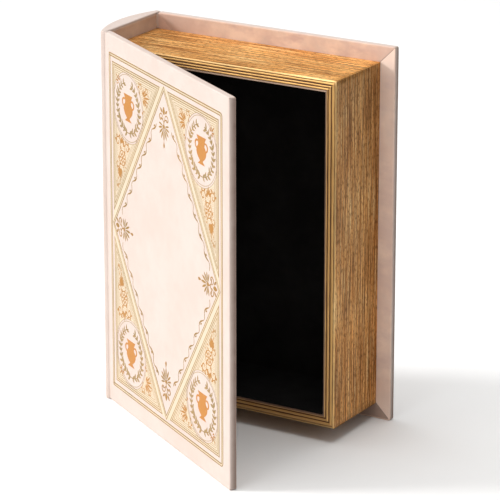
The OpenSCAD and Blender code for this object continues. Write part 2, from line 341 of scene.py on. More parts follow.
@dataclass(frozen=True)
class GiltPages:
    """Old gold paint over fine ridges that look like the edges of pages, with a painted highlight on the
    turned lip.
    """

    name: str
    glint: Colour
    bright: Colour
    dull: Colour
    deep: Colour
    # Where the painted highlight on the turned lip starts and how fast it comes in.
    lip_start: float = 58.4 * MM
    lip_fade: float = 0.8 * MM
    section_waves: Triple = (7.0, 690.0, 1.0)
    page_waves: Triple = (16.0, 1100.0, 1.0)
    fleck_waves: Triple = (270.0, 900.0, 1.0)
    gap_waves: Triple = (8.0, 210.0, 3.0)
    relief: float = 0.16 * MM

    def material(self) -> Material:
        """Builds the material from bands, pages, dark gaps, flecks, a painted highlight on the turned lip,
        and painted light and shade that differ by side.

        Returns:
            The material.
        """
        s = Shading(self.name)
        sheet = s.sheet_place()
        sections = s.noise(sheet, self.section_waves, 1.0)
        pages = s.noise(sheet, self.page_waves)
        flecks = s.noise(sheet, self.fleck_waves, 3.0)
        gaps = abs(s.noise(sheet, self.gap_waves, 4.0) - 0.5)
        lip = s.spread(s.separate(sheet)[1], self.lip_start, self.lip_start + self.lip_fade)
        s.colour = s.mix(s.spread(sections, 0.43, 0.57), self.dull, self.bright)
        s.coat(self.deep, s.spread(pages, 0.50, 0.59) * 0.8)
        s.coat(self.deep, s.spread(gaps, 0.035, 0.0) * 0.6)
        s.coat(self.glint, s.spread(pages, 0.46, 0.36) * 0.9)
        s.coat(self.deep, s.spread(flecks, 0.50, 0.62) * 0.7)
        s.coat(self.deep, s.spread(s.attribute("hollow"), 0.35, 0.95) * 0.25)
        # Painted highlight on the turned lip.
        s.coat(self.glint, lip * 0.55)
        # Painted light and shade that differ by side: the colour is dimmed on shaded sides and brightened on
        # the lit head.
        kept = 1.0 - s.attribute("wear_and_painted_shading") * 0.85
        s.colour = s.add("ShaderNodeVectorMath", {0: s.colour, "Scale": kept}, operation="SCALE").outputs[0]
        return s.finished(Metallic=0.45, Roughness=s.spread(flecks, 0.3, 0.8, 0.38, 0.6),
                          Specular_IOR_Level=0.15,
                          Normal=s.bump(pages * -0.6 + flecks * -0.4, self.relief, 0.7))


@dataclass(frozen=True)
class GiltRim:
    """Old gold paint on the reeded rim, rubbed off in the grooves and bare at the inner lip."""

    name: str
    bright: Colour
    groove: Colour
    lip: Colour
    lip_start: float = 6.9 * MM
    lip_fade: float = 0.25 * MM
    lip_wander: float = 0.4 * MM
    fibre_waves: Triple = (60.0, 1700.0, 1.0)
    patch_waves: Triple = (55.0, 500.0, 1.0)
    relief: float = 0.15 * MM

    def material(self) -> Material:
        """Builds the material from the wall's hollows, fibres and the painted shade on the rims of the shaded
        sides.

        Returns:
            The material.
        """
        s = Shading(self.name)
        sheet = s.sheet_place()
        fibres = s.noise(sheet, self.fibre_waves, 3.0)
        patches = s.noise(sheet, self.patch_waves, 3.0)
        uneven = patches - 0.5
        hollow = s.attribute("hollow") + uneven * 0.7
        across = s.separate(sheet)[1] + uneven * self.lip_wander
        s.colour = s.mix(s.spread(hollow, 0.25, 0.6), self.bright, self.groove)
        s.coat(self.groove, s.spread(fibres, 0.55, 0.75) * 0.55)
        s.coat(self.lip, s.spread(across, self.lip_start, self.lip_start + self.lip_fade))
        # Painted shade: the rims of the shaded sides take the groove colour.
        s.coat(self.groove, s.attribute("wear_and_painted_shading"))
        height = fibres * 0.6 + patches * 0.4
        return s.finished(Metallic=0.4, Roughness=0.45, Normal=s.bump(height, self.relief, 0.6))


@dataclass(frozen=True)
class StampedFoil:
    """Gold foil pressed into the covering, thin in places and redder in the full shapes."""

    name: str
    bright: Colour
    dull: Colour
    wear_and_painted_shading: Colour
    warm: Colour
    thin: Colour
    relief: float = 0.05 * MM

    def material(self) -> Material:
        """Builds the material from clouds of two golds and small breaks.

        Returns:
            The material.
        """
        s = Shading(self.name)
        place = s.place()
        s.colour = s.mix(s.spread(s.noise(place, 34.0, 3.0), 0.38, 0.64), self.bright, self.dull)
        s.coat(self.warm, s.attribute("warm"))
        s.coat(self.thin, s.attribute("thin"))
        s.coat(self.wear_and_painted_shading, s.spread(s.noise(place, 420.0, 4.0), 0.66, 0.74) * 0.6)
        return s.finished(Metallic=0.3, Roughness=0.42, Specular_IOR_Level=0.2,
                          Normal=s.bump(s.noise(place, 1500.0), self.relief, 0.4))


@dataclass(frozen=True)
class Velvet:
    """Deep black short pile."""

    name: str
    base: Colour
    sheen: Colour
    pile: float = 0.3 * MM

    def material(self) -> Material:
        """Builds the material from brushed clouds and a fine pile.

        Returns:
            The material.
        """
        s = Shading(self.name)
        place = s.place()
        s.colour = s.mix(s.spread(s.noise(place, 30.0, 3.0), 0.4, 0.7), self.base, dimmed(self.base, 1.8))
        return s.finished(Roughness=0.95, Specular_IOR_Level=0.05, Sheen_Weight=0.04, Sheen_Tint=self.sheen,
                          Sheen_Roughness=0.4, Normal=s.bump(s.noise(place, 2600.0), self.pile, 0.8))


@dataclass(frozen=True)
class PressedBoard:
    """Fibreboard or grey card: fine speckled fibres."""

    name: str
    base: Colour
    speck: Colour
    relief: float = 0.1 * MM

    def material(self) -> Material:
        """Builds the material from fibres and specks.

        Returns:
            The material.
        """
        s = Shading(self.name)
        place = s.place()
        fibres = s.noise(place, (700.0, 700.0, 250.0), 3.0)
        s.colour = s.mix(s.spread(fibres, 0.3, 0.7), self.base, dimmed(self.base, 0.75))
        s.coat(self.speck, s.spread(s.noise(place, 1100.0), 0.62, 0.7))
        return s.finished(Roughness=0.9, Normal=s.bump(fibres, self.relief, 0.5))


@dataclass(frozen=True)
class PaintedFloor:
    """Plain pale studio floor."""

    name: str
    base: Colour

    def material(self) -> Material:
        """Builds the material from two pale tones.

        Returns:
            The material.
        """
        s = Shading(self.name)
        s.colour = s.mix(s.noise(s.place(), 1.5), self.base, dimmed(self.base, 0.985))
        return s.finished(Roughness=0.9, Specular_IOR_Level=0.1)


class Finish(Enum):
    """The finishes of the box, each with the record's material slot where it has one."""

    COVERING = Suede("covering", base=(0.605, 0.505, 0.453), mottle=(0.585, 0.475, 0.42),
                     shade=(0.54, 0.425, 0.37))
    LINING = Suede("lining_suede", base=(0.71, 0.56, 0.46), mottle=(0.62, 0.475, 0.385),
                   shade=(0.46, 0.34, 0.27))
    PAGES = GiltPages("gilt_pages", glint=(1.0, 0.71, 0.33), bright=(1.0, 0.495, 0.138),
                      dull=(0.67, 0.278, 0.058), deep=(0.15, 0.050, 0.008))
    RIM = GiltRim("gilt_rim", bright=(0.98, 0.58, 0.195), groove=(0.10, 0.032, 0.007), lip=(0.34, 0.23, 0.16))
    FOIL = StampedFoil("gilt_foil", bright=(0.33, 0.185, 0.035), dull=(0.25, 0.155, 0.034),
                       wear_and_painted_shading=(0.58, 0.42, 0.24), warm=(0.51, 0.205, 0.035), thin=(0.665, 0.55, 0.41))
    VELVET = Velvet("black_velvet", base=(0.007, 0.0068, 0.0068), sheen=(0.02, 0.02, 0.02))
    FIBREBOARD = PressedBoard("fibreboard", base=(0.30, 0.18, 0.10), speck=(0.42, 0.30, 0.19))
    CARD = PressedBoard("card", base=(0.22, 0.22, 0.20), speck=(0.40, 0.40, 0.37))
    FLOOR = PaintedFloor("studio_floor", base=(0.95, 0.95, 0.945))

    @cache
    def material(self) -> Material:
        """Returns the finish's material, built when it is first asked for."""
        return self.value.material()

    @property
    def slot(self) -> str:
        """The record's slot that the finish stands for."""
        return self.value.name


def faced_outwards(mesh: Mesh, inside_out: bool = False) -> None:
    """Merges doubles and makes the faces of a mesh point away from its middle.

    Args:
        mesh: The mesh.
        inside_out: Whether they point to the middle instead.
    """
    bm = bmesh.new()
    bm.from_mesh(mesh)
    bmesh.ops.remove_doubles(bm, verts=bm.verts, dist=0.002 * MM)
    bmesh.ops.recalc_face_normals(bm, faces=bm.faces)
    middle = sum((v.co for v in bm.verts), Vector()) / len(bm.verts)
    outward = sum(f.normal.dot(f.calc_center_median() - middle) * f.calc_area() for f in bm.faces)
    if (outward < 0) != inside_out:
        bmesh.ops.reverse_faces(bm, faces=bm.faces)
    bm.to_mesh(mesh)
    bm.free()


def turn_towards(piece: Piece, direction: Vector) -> None:
    """Turns an open sheet's faces so that most of them look along a direction."""
    if sum(polygon.normal.dot(direction) * polygon.area for polygon in piece.data.polygons) < 0:
        piece.data.flip_normals()


def marked(mesh: Mesh, **marks: np.ndarray | float) -> None:
    """Gives the points of a mesh numbers that its finish reads.

    Args:
        mesh: The mesh.
        marks: One number for all points or one for each, by name.
    """
    for name, values in marks.items():
        numbers = np.full(len(mesh.vertices), values, dtype=np.float32)
        mesh.attributes.new(name, "FLOAT", "POINT").data.foreach_set("value", numbers)


def mesh_of(name: str, points: Sequence, faces: Faces, inside_out: bool = False, **marks: np.ndarray) -> Mesh:
    """Makes a mesh, merged and with its faces turned.

    Args:
        name: Its name.
        points: Places of its points.
        faces: Point numbers of its faces.
        inside_out: Whether the faces point to the middle.
        marks: Numbers that each point carries, by name.

    Returns:
        The mesh.
    """
    mesh = bpy.data.meshes.new(name)
    mesh.from_pydata([tuple(p) for p in points], [], faces)
    marked(mesh, **marks)
    faced_outwards(mesh, inside_out)
    return mesh


def piece_of(name: str, mesh: Mesh, finish: Finish, smooth: bool = True) -> Piece:
    """Makes a piece of a mesh.

    Args:
        name: Its name.
        mesh: Its mesh.
        finish: Its finish.
        smooth: Whether it is shaded smoothly.

    Returns:
        The piece.
    """
    piece = bpy.data.objects.new(name, mesh)
    bpy.context.scene.collection.objects.link(piece)
    mesh.materials.clear()
    mesh.materials.append(finish.material())
    mesh.polygons.foreach_set("use_smooth", [smooth] * len(mesh.polygons))
    return piece


def fixed(piece: Piece, body: str, finish: Finish, *nodes: str) -> Piece:
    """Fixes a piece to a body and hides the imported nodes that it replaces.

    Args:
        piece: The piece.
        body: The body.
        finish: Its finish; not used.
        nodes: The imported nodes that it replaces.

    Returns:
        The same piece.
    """
    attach(piece, body)
    finish.slot
    if nodes:
        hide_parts(*nodes)
    return piece


def settled(piece: Piece) -> Piece:
    """Turns a piece's modifiers into plain mesh.

    Args:
        piece: The piece.

    Returns:
        The same piece.
    """
    bpy.context.view_layer.update()
    mesh = bpy.data.meshes.new_from_object(piece.evaluated_get(bpy.context.evaluated_depsgraph_get()))
    piece.modifiers.clear()
    piece.data = mesh
    return piece


def thickened(piece: Piece, thickness: float) -> Piece:
    """Thickens a sheet behind the side that it shows.

    Args:
        piece: The sheet.
        thickness: How thick it becomes.

    Returns:
        The same piece.
    """
    wall = piece.modifiers.new("thickness", "SOLIDIFY")
    wall.thickness = thickness
    wall.offset = -1.0
    wall.use_even_offset = False
    return settled(piece)


def ring_faces(rows: int, columns: int, first: int = 0, closed: bool = True, looped: bool = False) -> Faces:
    """Lists the faces between neighbouring rows of points.

    Args:
        rows: Number of rows.
        columns: Points in a row.
        first: Number of the first point.
        closed: Whether a row's last point joins its first.
        looped: Whether the last row joins the first.

    Returns:
        The faces.
    """
    faces = []
    for row in range(rows if looped else rows - 1):
        for column in range(columns if closed else columns - 1):
            after = (column + 1) % columns
            low, high = first + row * columns, first + (row + 1) % rows * columns
            faces.append((low + column, low + after, high + after, high + column))
    return faces


def quarter(radius: float, steps: int) -> list[Point2]:
    """Returns the sine and cosine sides of a quarter turn, from (0, radius) to (radius, 0)."""
    angles = [math.pi / 2 * step / steps for step in range(steps + 1)]
    return [(radius * math.sin(angle), radius * math.cos(angle)) for angle in angles]


def axes_at(origin: Vector, *axes: Vector) -> Matrix:
    """Returns the matrix that lays a drawing's origin on a place and its X, Y and Z along axes."""
    return Matrix.Translation(origin) @ Matrix(axes).transposed().to_4x4()


HINGE = frame["joints"][0]
PIVOT = Vector(HINGE["pos_m"])
SWING = Matrix.Rotation(math.radians(HINGE["range_deg"][0]), 4, "Z")
OPENED = Matrix.Translation(PIVOT) @ SWING @ Matrix.Translation(-PIVOT)
CLOSED = OPENED.inverted()


def closed_box(node: str) -> tuple[Vector, Vector]:
    """Returns the lowest and highest corners of a node of the front cover in the closed book."""
    points = np.array([CLOSED @ v.co for v in frame["nodes"][node].data.vertices])
    return Vector(points.min(axis=0)), Vector(points.max(axis=0))


@dataclass(frozen=True)
class RoundedFrame:
    """Outlines of a rectangle with round corners, drawn in by an inset, with points to match."""

    width: float
    height: float
    corner_radius: float
    spacing: float
    near_corner: tuple[float, ...] = tuple(
        v * MM for v in (0, 0.12, 0.25, 0.45, 0.8, 1.3, 2.0, 3.2, 5.0, 8.0))

    def along(self, length: float, inset: float) -> np.ndarray:
        """Sets the points of one side, close together near its corners.

        Args:
            length: The side's length without an inset.
            inset: How far the outline is drawn in.

        Returns:
            Distances from the outline's corner.
        """
        near = np.array(self.near_corner)
        count = max(1, round((length - 2 * near[-1]) / self.spacing))
        run = length - 2 * inset
        middle = np.linspace(near[-1], run - near[-1], count + 1)[1:-1]
        return np.concatenate([near, middle, run - near[::-1]])

    def outline(self, inset: float) -> np.ndarray:
        """Draws the ring of points at an inset.

        Args:
            inset: How far the ring is drawn in.

        Returns:
            The points.
        """
        radius = max(self.corner_radius - inset, 0.0)
        w, h = self.width, self.height
        sides = [((0, 0), (1, 0), (0, 1), w), ((w, 0), (0, 1), (-1, 0), h),
                 ((w, h), (-1, 0), (0, -1), w), ((0, h), (0, -1), (1, 0), h)]
        ring = []
        for corner, tangent, normal, length in sides:
            t, n = np.array(tangent, float), np.array(normal, float)
            start = np.array(corner, float) + inset * (t + n)
            run = length - 2 * inset
            for place in self.along(length, inset)[:-1]:
                from_end, aside = min(place, run - place), 0.0
                if from_end < radius:
                    angle = (1 - from_end / radius) * math.pi / 4
                    from_end, aside = radius * (1 - math.sin(angle)), radius * (1 - math.cos(angle))
                    place = from_end if place < run / 2 else run - from_end
                ring.append(start + place * t + aside * n)
        return np.array(ring)

    def side_runs(self) -> list[tuple[float, np.ndarray]]:
        """Returns each side's length and the places of its points, in the order of the ring."""
        lengths = (self.width, self.height) * 2
        return [(length, self.along(length, 0.0)[:-1]) for length in lengths]

    def corner_distance(self) -> np.ndarray:
        """Returns each ring point's distance from the nearest corner, along its side."""
        return np.concatenate([np.minimum(run, length - run) for length, run in self.side_runs()])

    def upright(self) -> np.ndarray:
        """Returns 0 for ring points of the sides along the width, and 1 for the others."""
        return np.concatenate([np.full(len(run), side % 2) for side, (_, run) in enumerate(self.side_runs())])

    def shell(self, rows: Sequence[Point2], patch_row: int) -> tuple[np.ndarray, Faces]:
        """Stacks rings of points and closes one of them, clear of the round corners, with a flat patch.

        Args:
            rows: Inset and level of each ring.
            patch_row: Number of the closed ring.

        Returns:
            The points, the patch's last, and the faces.
        """
        inset, level = rows[patch_row]
        xs, ys = inset + self.along(self.width, inset), inset + self.along(self.height, inset)
        layers = [(self.outline(ring_inset), ring_level) for ring_inset, ring_level in rows]
        columns = len(layers[0][0])
        layers.append((np.array([(x, y) for y in ys for x in xs]), level))
        points = [np.column_stack([flat, np.full(len(flat), height)]) for flat, height in layers]
        patch_faces = ring_faces(len(ys), len(xs), len(rows) * columns, closed=False)
        return np.concatenate(points), ring_faces(len(rows), columns) + patch_faces


@dataclass(frozen=True)
class BookSizes:
    """Main sizes of the box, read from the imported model."""

    cover_w: float
    cover_h: float
    cover_t: float
    sheet_t: float
    turn_in: float
    cover_x: float
    back_out_y: float
    front_out_y: float

    @classmethod
    def from_frame(cls) -> "BookSizes":
        """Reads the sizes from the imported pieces.

        Returns:
            The sizes.
        """
        low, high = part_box("back_wrap")
        board_low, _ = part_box("back_board")
        infill_low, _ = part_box("back_infill")
        return cls(
            cover_w=high.x - low.x, cover_h=high.z - low.z, cover_t=high.y - low.y,
            sheet_t=board_low.x - low.x, turn_in=infill_low.z - low.z, cover_x=low.x,
            back_out_y=high.y, front_out_y=closed_box("front_wrap")[0].y)


@dataclass
class CoverSheet:
    """Covering sheet round one board: outer face, rounded edges and mitred turned-in strips."""

    name: str
    body: str
    node: str
    sizes: BookSizes
    out_y: float
    inward: float
    seed: int
    edge_radius: float = 0.95 * MM
    corner_radius: float = 1.7 * MM
    spacing: float = 3.2 * MM
    edge_rows: tuple[float, ...] = (1.25 * MM, 1.9 * MM, 3.0 * MM)
    strip_rows: tuple[float, ...] = (5.0 * MM, 7.5 * MM, 10.0 * MM, 12.5 * MM, 14.5 * MM)
    cut_rows: tuple[Point2, ...] = ((0.5 * MM, 0.0), (0.15 * MM, 0.02 * MM), (0.0, 0.12 * MM))
    bend_steps: int = 6
    seam_width: float = 0.22 * MM
    seam_depth: float = 0.22 * MM
    fold_lift: float = 0.14 * MM
    fold_reach: float = 7.0 * MM
    thickness_share: float = 0.85
    face_play: float = 0.2 * MM
    # Painted light on the fore-edge turned-in strips: a share along the whole strip, and more towards the
    # head and tail corners.
    pale: float = 0.55
    pale_head: float = 0.45
    pale_tail: float = 0.3
    pale_reach: float = 13 * MM
    # Painted shade: its width and fade along the fore-edge board edge, and its strength on the tail strip and
    # in the head corner near the spine.
    shaded_edge_w: float = 0.8 * MM
    shaded_edge_fade: float = 3.4 * MM
    tail_shade: float = 0.72
    head_shade: float = 0.2
    head_shade_reach: float = 62 * MM

    def profile(self) -> list[Point2]:
        """Lists the sheet's section, from the outer face round the edge to the cut edge inside.

        Returns:
            Insets and depths.
        """
        r, t, reach = self.edge_radius, self.sizes.cover_t, self.sizes.turn_in
        bend = quarter(r, self.bend_steps)
        rows = [(inset, 0.0) for inset in reversed(self.edge_rows)]
        rows += [(r - s, r - c) for s, c in bend]
        rows += [(0.0, t * part) for part in (0.3, 0.5, 0.7)]
        rows += [(r - c, t - r + s) for s, c in bend]
        rows += [(inset, t) for inset in self.edge_rows + self.strip_rows]
        return rows + [(reach - before, t - below) for before, below in self.cut_rows]

    def build(self) -> Piece:
        """Builds the sheet in the closed book and swings it open if it is the front cover's.

        Returns:
            The sheet.
        """
        size, rows = self.sizes, self.profile()
        plan = RoundedFrame(size.cover_w, size.cover_h, self.corner_radius, self.spacing)
        flat, faces = plan.shell(rows, 0)
        inset = np.repeat([row_inset for row_inset, _ in rows], len(plan.upright()))
        spare = len(flat) - len(inset)
        inset = np.append(inset, np.full(spare, rows[0][0]))
        gap, upright = (np.append(np.tile(values, len(rows)), np.zeros(spare))
                        for values in (plan.corner_distance(), plan.upright()))
        fore_edge = (flat[:, 2] > size.cover_t - self.face_play) * (flat[:, 0] > size.cover_w / 2)
        seam = fading(gap, self.seam_width) * fore_edge * (inset > self.corner_radius)
        fold = upright * fading(gap, self.fold_reach) * fore_edge * (inset > self.corner_radius)
        lift = fold * self.fold_lift - seam * self.seam_depth
        # Painted light, strongest near the ends of the fore-edge strips.
        pale_end = np.where(flat[:, 1] > size.cover_h / 2, self.pale_head, self.pale_tail)
        # The turned-in share also gives these points the painted-shade colours.
        mesh = mesh_of(self.name, self.laid(flat, lift), faces, seam=seam,
                       turned_in=np.clip(4 * flat[:, 2] / size.cover_t - 3, 0, 1),
                       handled=self.handled(flat, inset, upright),
                       brushed=upright * fore_edge * (self.pale + fading(gap, self.pale_reach) * pale_end))
        piece = thickened(piece_of(self.name, mesh, Finish.COVERING), size.sheet_t * self.thickness_share)
        if self.body == "front_cover":
            piece.data.transform(OPENED)
        return fixed(piece, self.body, Finish.COVERING, self.node)

    def handled(self, flat: np.ndarray, inset: np.ndarray, upright: np.ndarray) -> np.ndarray:
        """Works out how much painted shade the sheet gets, from 0 to 1: on the fore-edge board edges, on the
        tail strip under the tray and near the spine on the head strip.

        Args:
            flat: Places and depths of the points.
            inset: How far each point's ring is drawn in.
            upright: 1 for points of the upright sides, or else 0.

        Returns:
            The share at each point.
        """
        (x, z, depth), size = flat.T, self.sizes
        away = depth if self.body == "front_cover" else size.cover_t - depth
        edge = np.clip(1 - (size.cover_w - x) / self.shaded_edge_w, 0, 1) * (inset < 1.3 * MM)
        edge = edge * np.clip((away - self.face_play) / self.shaded_edge_fade, 0, 1)
        if self.body == "front_cover":
            return edge
        tail = (z < size.turn_in + 1 * MM) * self.tail_shade
        head = (z > size.cover_h / 2) * fading(x, self.head_shade_reach) * self.head_shade
        ends = (1 - upright) * (inset > self.edge_radius) * (depth > size.cover_t - self.face_play)
        return np.maximum(edge, ends * np.maximum(tail, head))

    def laid(self, flat: np.ndarray, lift: np.ndarray) -> np.ndarray:
        """Lays flat points in the closed book and lets the two faces wave.

        Args:
            flat: Distances from the board's corner, and depths from the outer face.
            lift: Extra height of the turned-in strips.

        Returns:
            The points in the closed book.
        """
        x, z = self.sizes.cover_x + flat[:, 0], flat[:, 1]
        wave = Undulation(self.seed).at(np.column_stack([x, np.zeros(len(x)), z]))
        share = flat[:, 2] / self.sizes.cover_t
        depth = flat[:, 2] + wave * (1 - 2 * share) + lift - self.fold_lift * (lift > 0)
        return np.column_stack([x, self.out_y + self.inward * depth, z])


def swept(name: str, section: Sequence[Point2], low: float, high: float, finish: Finish,
          end_radius: float, spacing: float = 4 * MM, wave: Undulation | None = None) -> Piece:
    """Sweeps a closed section upright, with rounded ends.

    Args:
        name: Name of the piece.
        section: The section.
        low: Height of its lower end.
        high: Height of its upper end.
        finish: Its finish.
        end_radius: Radius of its ends.
        spacing: Distance between two rows of points.
        wave: Waves that push the surface in.

    Returns:
        The piece.
    """
    ring = np.array(section, float)
    before, after = np.roll(ring, 1, axis=0), np.roll(ring, -1, axis=0)
    tangent = after - before
    tangent /= np.linalg.norm(tangent, axis=1)[:, None]
    area = np.sum(ring[:, 0] * after[:, 1] - after[:, 0] * ring[:, 1])
    normal = np.column_stack([tangent[:, 1], -tangent[:, 0]]) * math.copysign(1.0, area)
    ends = [(end_radius + 0.05 * MM, 0.0)]
    ends += [(end_radius - s, end_radius - c) for s, c in quarter(end_radius, 5)]
    count = max(2, round((high - low - 2 * end_radius) / spacing))
    middle = np.linspace(low + end_radius, high - end_radius, count + 1)[1:-1]
    levels = [(inset, low + rise) for inset, rise in ends] + [(0.0, z) for z in middle]
    levels += [(inset, high - rise) for inset, rise in reversed(ends)]
    rows = []
    for inset, z in levels:
        points = np.column_stack([ring - normal * inset, np.full(len(ring), z)])
        if wave and inset == 0.0:
            points[:, :2] -= normal * wave.at(points)[:, None]
        rows.append(points)
    columns, last = len(ring), (len(rows) - 1) * len(ring)
    faces = ring_faces(len(rows), columns)
    faces += [tuple(range(columns)), tuple(range(last, last + columns))]
    return piece_of(name, mesh_of(name, np.concatenate(rows), faces), finish)


def side_points(start: Point2, end: Point2, spacing: float) -> list[Point2]:
    """Returns evenly set points between two places, without the places themselves."""
    parts = max(1, round((Vector(end) - Vector(start)).length / spacing))
    return [tuple(Vector(start).lerp(Vector(end), part / parts)) for part in range(1, parts)]


def corner_trios(corners: Sequence[Point2]) -> list[tuple[Vector, Vector, Vector]]:
    """Returns each corner of a closed outline with the one before it and the one after it."""
    spots = [Vector(corner) for corner in corners]
    return list(zip(spots, spots[-1:] + spots[:-1], spots[1:] + spots[:1]))


def rounded_section(corners: Sequence[Point2], radii: Sequence[float], spacing: float) -> list[Point2]:
    """Rounds the corners of a closed outline and sets points along its sides.

    Args:
        corners: The corners.
        radii: Radius at each corner, or 0 to keep the point.
        spacing: Usual distance between two points of a side.

    Returns:
        The rounded outline.
    """
    outline: list[Point2] = []
    steps = 5
    for (here, before, after), radius in zip(corner_trios(corners), radii):
        if radius == 0:
            outline.append(tuple(here))
            continue
        back, ahead = (before - here).normalized(), (after - here).normalized()
        half = back.angle(ahead) / 2
        run = radius / math.tan(half)
        start, end = here + back * run, here + ahead * run
        if outline:
            outline.extend(side_points(outline[-1], start, spacing))
        middle = here + (back + ahead).normalized() * radius / math.sin(half)
        sweep = (start - middle).angle_signed(end - middle)
        for step in range(steps + 1):
            arm = start - middle
            arm.rotate(Matrix.Rotation(-sweep * step / steps, 2))
            outline.append(tuple(middle + arm))
    return outline + side_points(outline[-1], outline[0], spacing)


@dataclass
class Spine:
    """The rounded spine: its covering sheet and the flat lining of its inner face."""

    sizes: BookSizes
    corner_radius: float = 1.1 * MM
    end_radius: float = 0.9 * MM
    arc_points: int = 40
    section_spacing: float = 1.6 * MM
    lining_margin: float = 1.3 * MM
    lining_proud: float = 0.06 * MM
    lining_t: float = 0.4 * MM
    lining_radius: float = 0.25 * MM

    def outline(self) -> list[Point2]:
        """Draws the covered spine's section: a round back and a flat inner face.

        Returns:
            Points of the section.
        """
        low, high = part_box("spine_wrap")
        ends = [v.co.x for v in frame["nodes"]["spine_wrap"].data.vertices
                if v.co.y < low.y + 0.01 * MM and v.co.x < high.x - 1.0 * MM]
        inner, chord = high.x - self.lining_proud, high.y - low.y
        bulge = (inner - low.x) - (high.x - min(ends))
        radius = ((chord / 2) ** 2 + bulge ** 2) / (2 * bulge)
        centre = Vector((low.x + radius, (low.y + high.y) / 2))
        half_angle = math.asin(chord / 2 / radius)
        corners = []
        for step in reversed(range(self.arc_points + 1)):
            angle = math.pi + half_angle * (1 - 2 * step / self.arc_points)
            corners.append((centre.x + radius * math.cos(angle), centre.y + radius * math.sin(angle)))
        corners += [(inner, low.y), (inner, high.y)]
        radii = [0.0] * len(corners)
        for number in (0, self.arc_points, -2, -1):
            radii[number] = self.corner_radius
        return rounded_section(corners, radii, self.section_spacing)

    def build(self) -> list[Piece]:
        """Builds the covering and the lining.

        Returns:
            Both pieces.
        """
        covering = swept("spine_covering", self.outline(), 0.0, self.sizes.cover_h, Finish.COVERING,
                         self.end_radius, wave=Undulation(11, 0.04 * MM))
        low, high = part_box("spine_lining")
        m, r, back = self.lining_margin, self.lining_radius, high.x - self.lining_t
        corners = [(back, low.y + m), (high.x, low.y + m), (high.x, high.y - m), (back, high.y - m)]
        section = rounded_section(corners, [0.0, r, r, 0.0], 2.0 * MM)
        lining = swept("spine_inner_lining", section, low.z + m, high.z - m, Finish.LINING, 0.22 * MM,
                       wave=Undulation(21, 0.03 * MM, 22 * MM))
        return [fixed(covering, "case", Finish.COVERING, "spine_wrap"),
                fixed(lining, "case", Finish.LINING, "spine_lining")]


class Tree(Graph):
    """A geometry node tree with named inputs."""

    def __init__(self, name: str) -> None:
        """Makes an empty tree with a geometry output.

        Args:
            name: Name of the tree.
        """
        super().__init__(bpy.data.node_groups.new(name, "GeometryNodeTree"))
        self.tree.interface.new_socket("Geometry", in_out="OUTPUT", socket_type="NodeSocketGeometry")
        self.entry = self.add("NodeGroupInput")
        self.values: dict[str, object] = {}

    def value(self, name: str, value: object, kind: str = "Float") -> Number:
        """Adds a named input.

        Args:
            name: Its name.
            value: The value that this piece is built with.
            kind: Float, Int or Vector.

        Returns:
            Its value inside the tree.
        """
        item = self.tree.interface.new_socket(name, in_out="INPUT", socket_type="NodeSocket" + kind)
        self.values[item.identifier] = value
        return Number(self, self.entry.outputs[name])

    def motif(self) -> Socket:
        """Adds an input for the shape that the tree repeats, and returns its socket."""
        self.tree.interface.new_socket("Motif", in_out="INPUT", socket_type="NodeSocketGeometry")
        return self.entry.outputs["Motif"]

    def index(self) -> Number:
        """Returns the number of each point, counted from 0."""
        return self.number("GeometryNodeInputIndex")

    def geometry(self, kind: str, inputs: dict, **settings: object) -> Socket:
        """Adds a geometry node and returns its first output."""
        return self.add("GeometryNode" + kind, inputs, **settings).outputs[0]

    def noise_at(self, x: Number, y: Number, pitches: Point2, seed: Value) -> Number:
        """Returns noise of about -1 to 1 at two distances, with so many waves in a metre along each."""
        spot = self.combine(x * pitches[0], y * pitches[1], seed)
        return (self.noise(spot, 1.0) - 0.5) * 3.0

    def stored(self, geometry: Socket, name: str, value: Value, kind: str = "FLOAT") -> Socket:
        """Stores a number on the points of a geometry, or two numbers, FLOAT2, on its face corners."""
        return self.geometry("StoreNamedAttribute", {"Geometry": geometry, "Name": name, "Value": value},
                             data_type=kind, domain="POINT" if kind == "FLOAT" else "CORNER")

    def joined(self, parts: Iterable[Socket]) -> Socket:
        """Joins geometries into one.

        Args:
            parts: The geometries.

        Returns:
            All of them together.
        """
        node = self.add("GeometryNodeJoinGeometry")
        for part in parts:
            self.tree.links.new(part, node.inputs[0])
        return node.outputs[0]

    def mirrored(self, geometry: Socket) -> Socket:
        """Repeats a geometry in all four quarters round the origin."""
        scales = ((1, 1, 1), (-1, 1, 1), (1, -1, 1), (-1, -1, 1))
        return self.joined([self.geometry("Transform", {"Geometry": geometry, "Scale": s}) for s in scales])

    def built(self, name: str, geometry: Socket, finish: Finish, place: Matrix, smooth: bool = True,
              motif: Mesh | None = None) -> Piece:
        """Runs the tree and keeps its result as plain mesh.

        Args:
            name: Name of the piece.
            geometry: The result.
            finish: Its finish.
            place: Where it is laid.
            smooth: Whether it is shaded smoothly.
            motif: The shape that the tree repeats.

        Returns:
            The piece.
        """
        real = self.geometry("RealizeInstances", {0: geometry})
        made = self.geometry("SetMaterial", {"Geometry": real, "Material": finish.material()})
        self.add("NodeGroupOutput", {"Geometry": made})
        piece = piece_of(name, motif or bpy.data.meshes.new(name), finish)
        modifier = piece.modifiers.new("shape", "NODES")
        modifier.node_group = self.tree
        for identifier, value in self.values.items():
            modifier[identifier] = value
        settled(piece)
        piece.data.name = name
        piece.data.transform(place)
        piece.data.polygons.foreach_set("use_smooth", [smooth] * len(piece.data.polygons))
        return piece


@dataclass(frozen=True)
class Side:
    """One side of the tray, seen from the front: where it starts, runs and faces."""

    name: str
    start: Vector
    along: Vector
    inward: Vector
    length: float
    # Painted light and shade: above 0 dims the side's gilt and below 0 brightens it; the slope makes one end
    # darker than the other.
    wear_and_painted_shading: float
    fade: float = 0.0
    grooves: int = 3

    def place(self) -> Matrix:
        """Returns the matrix that lays a flat drawing's X along the side and Y inward, on the rim."""
        return axes_at(self.start, self.along, self.inward, -EY)


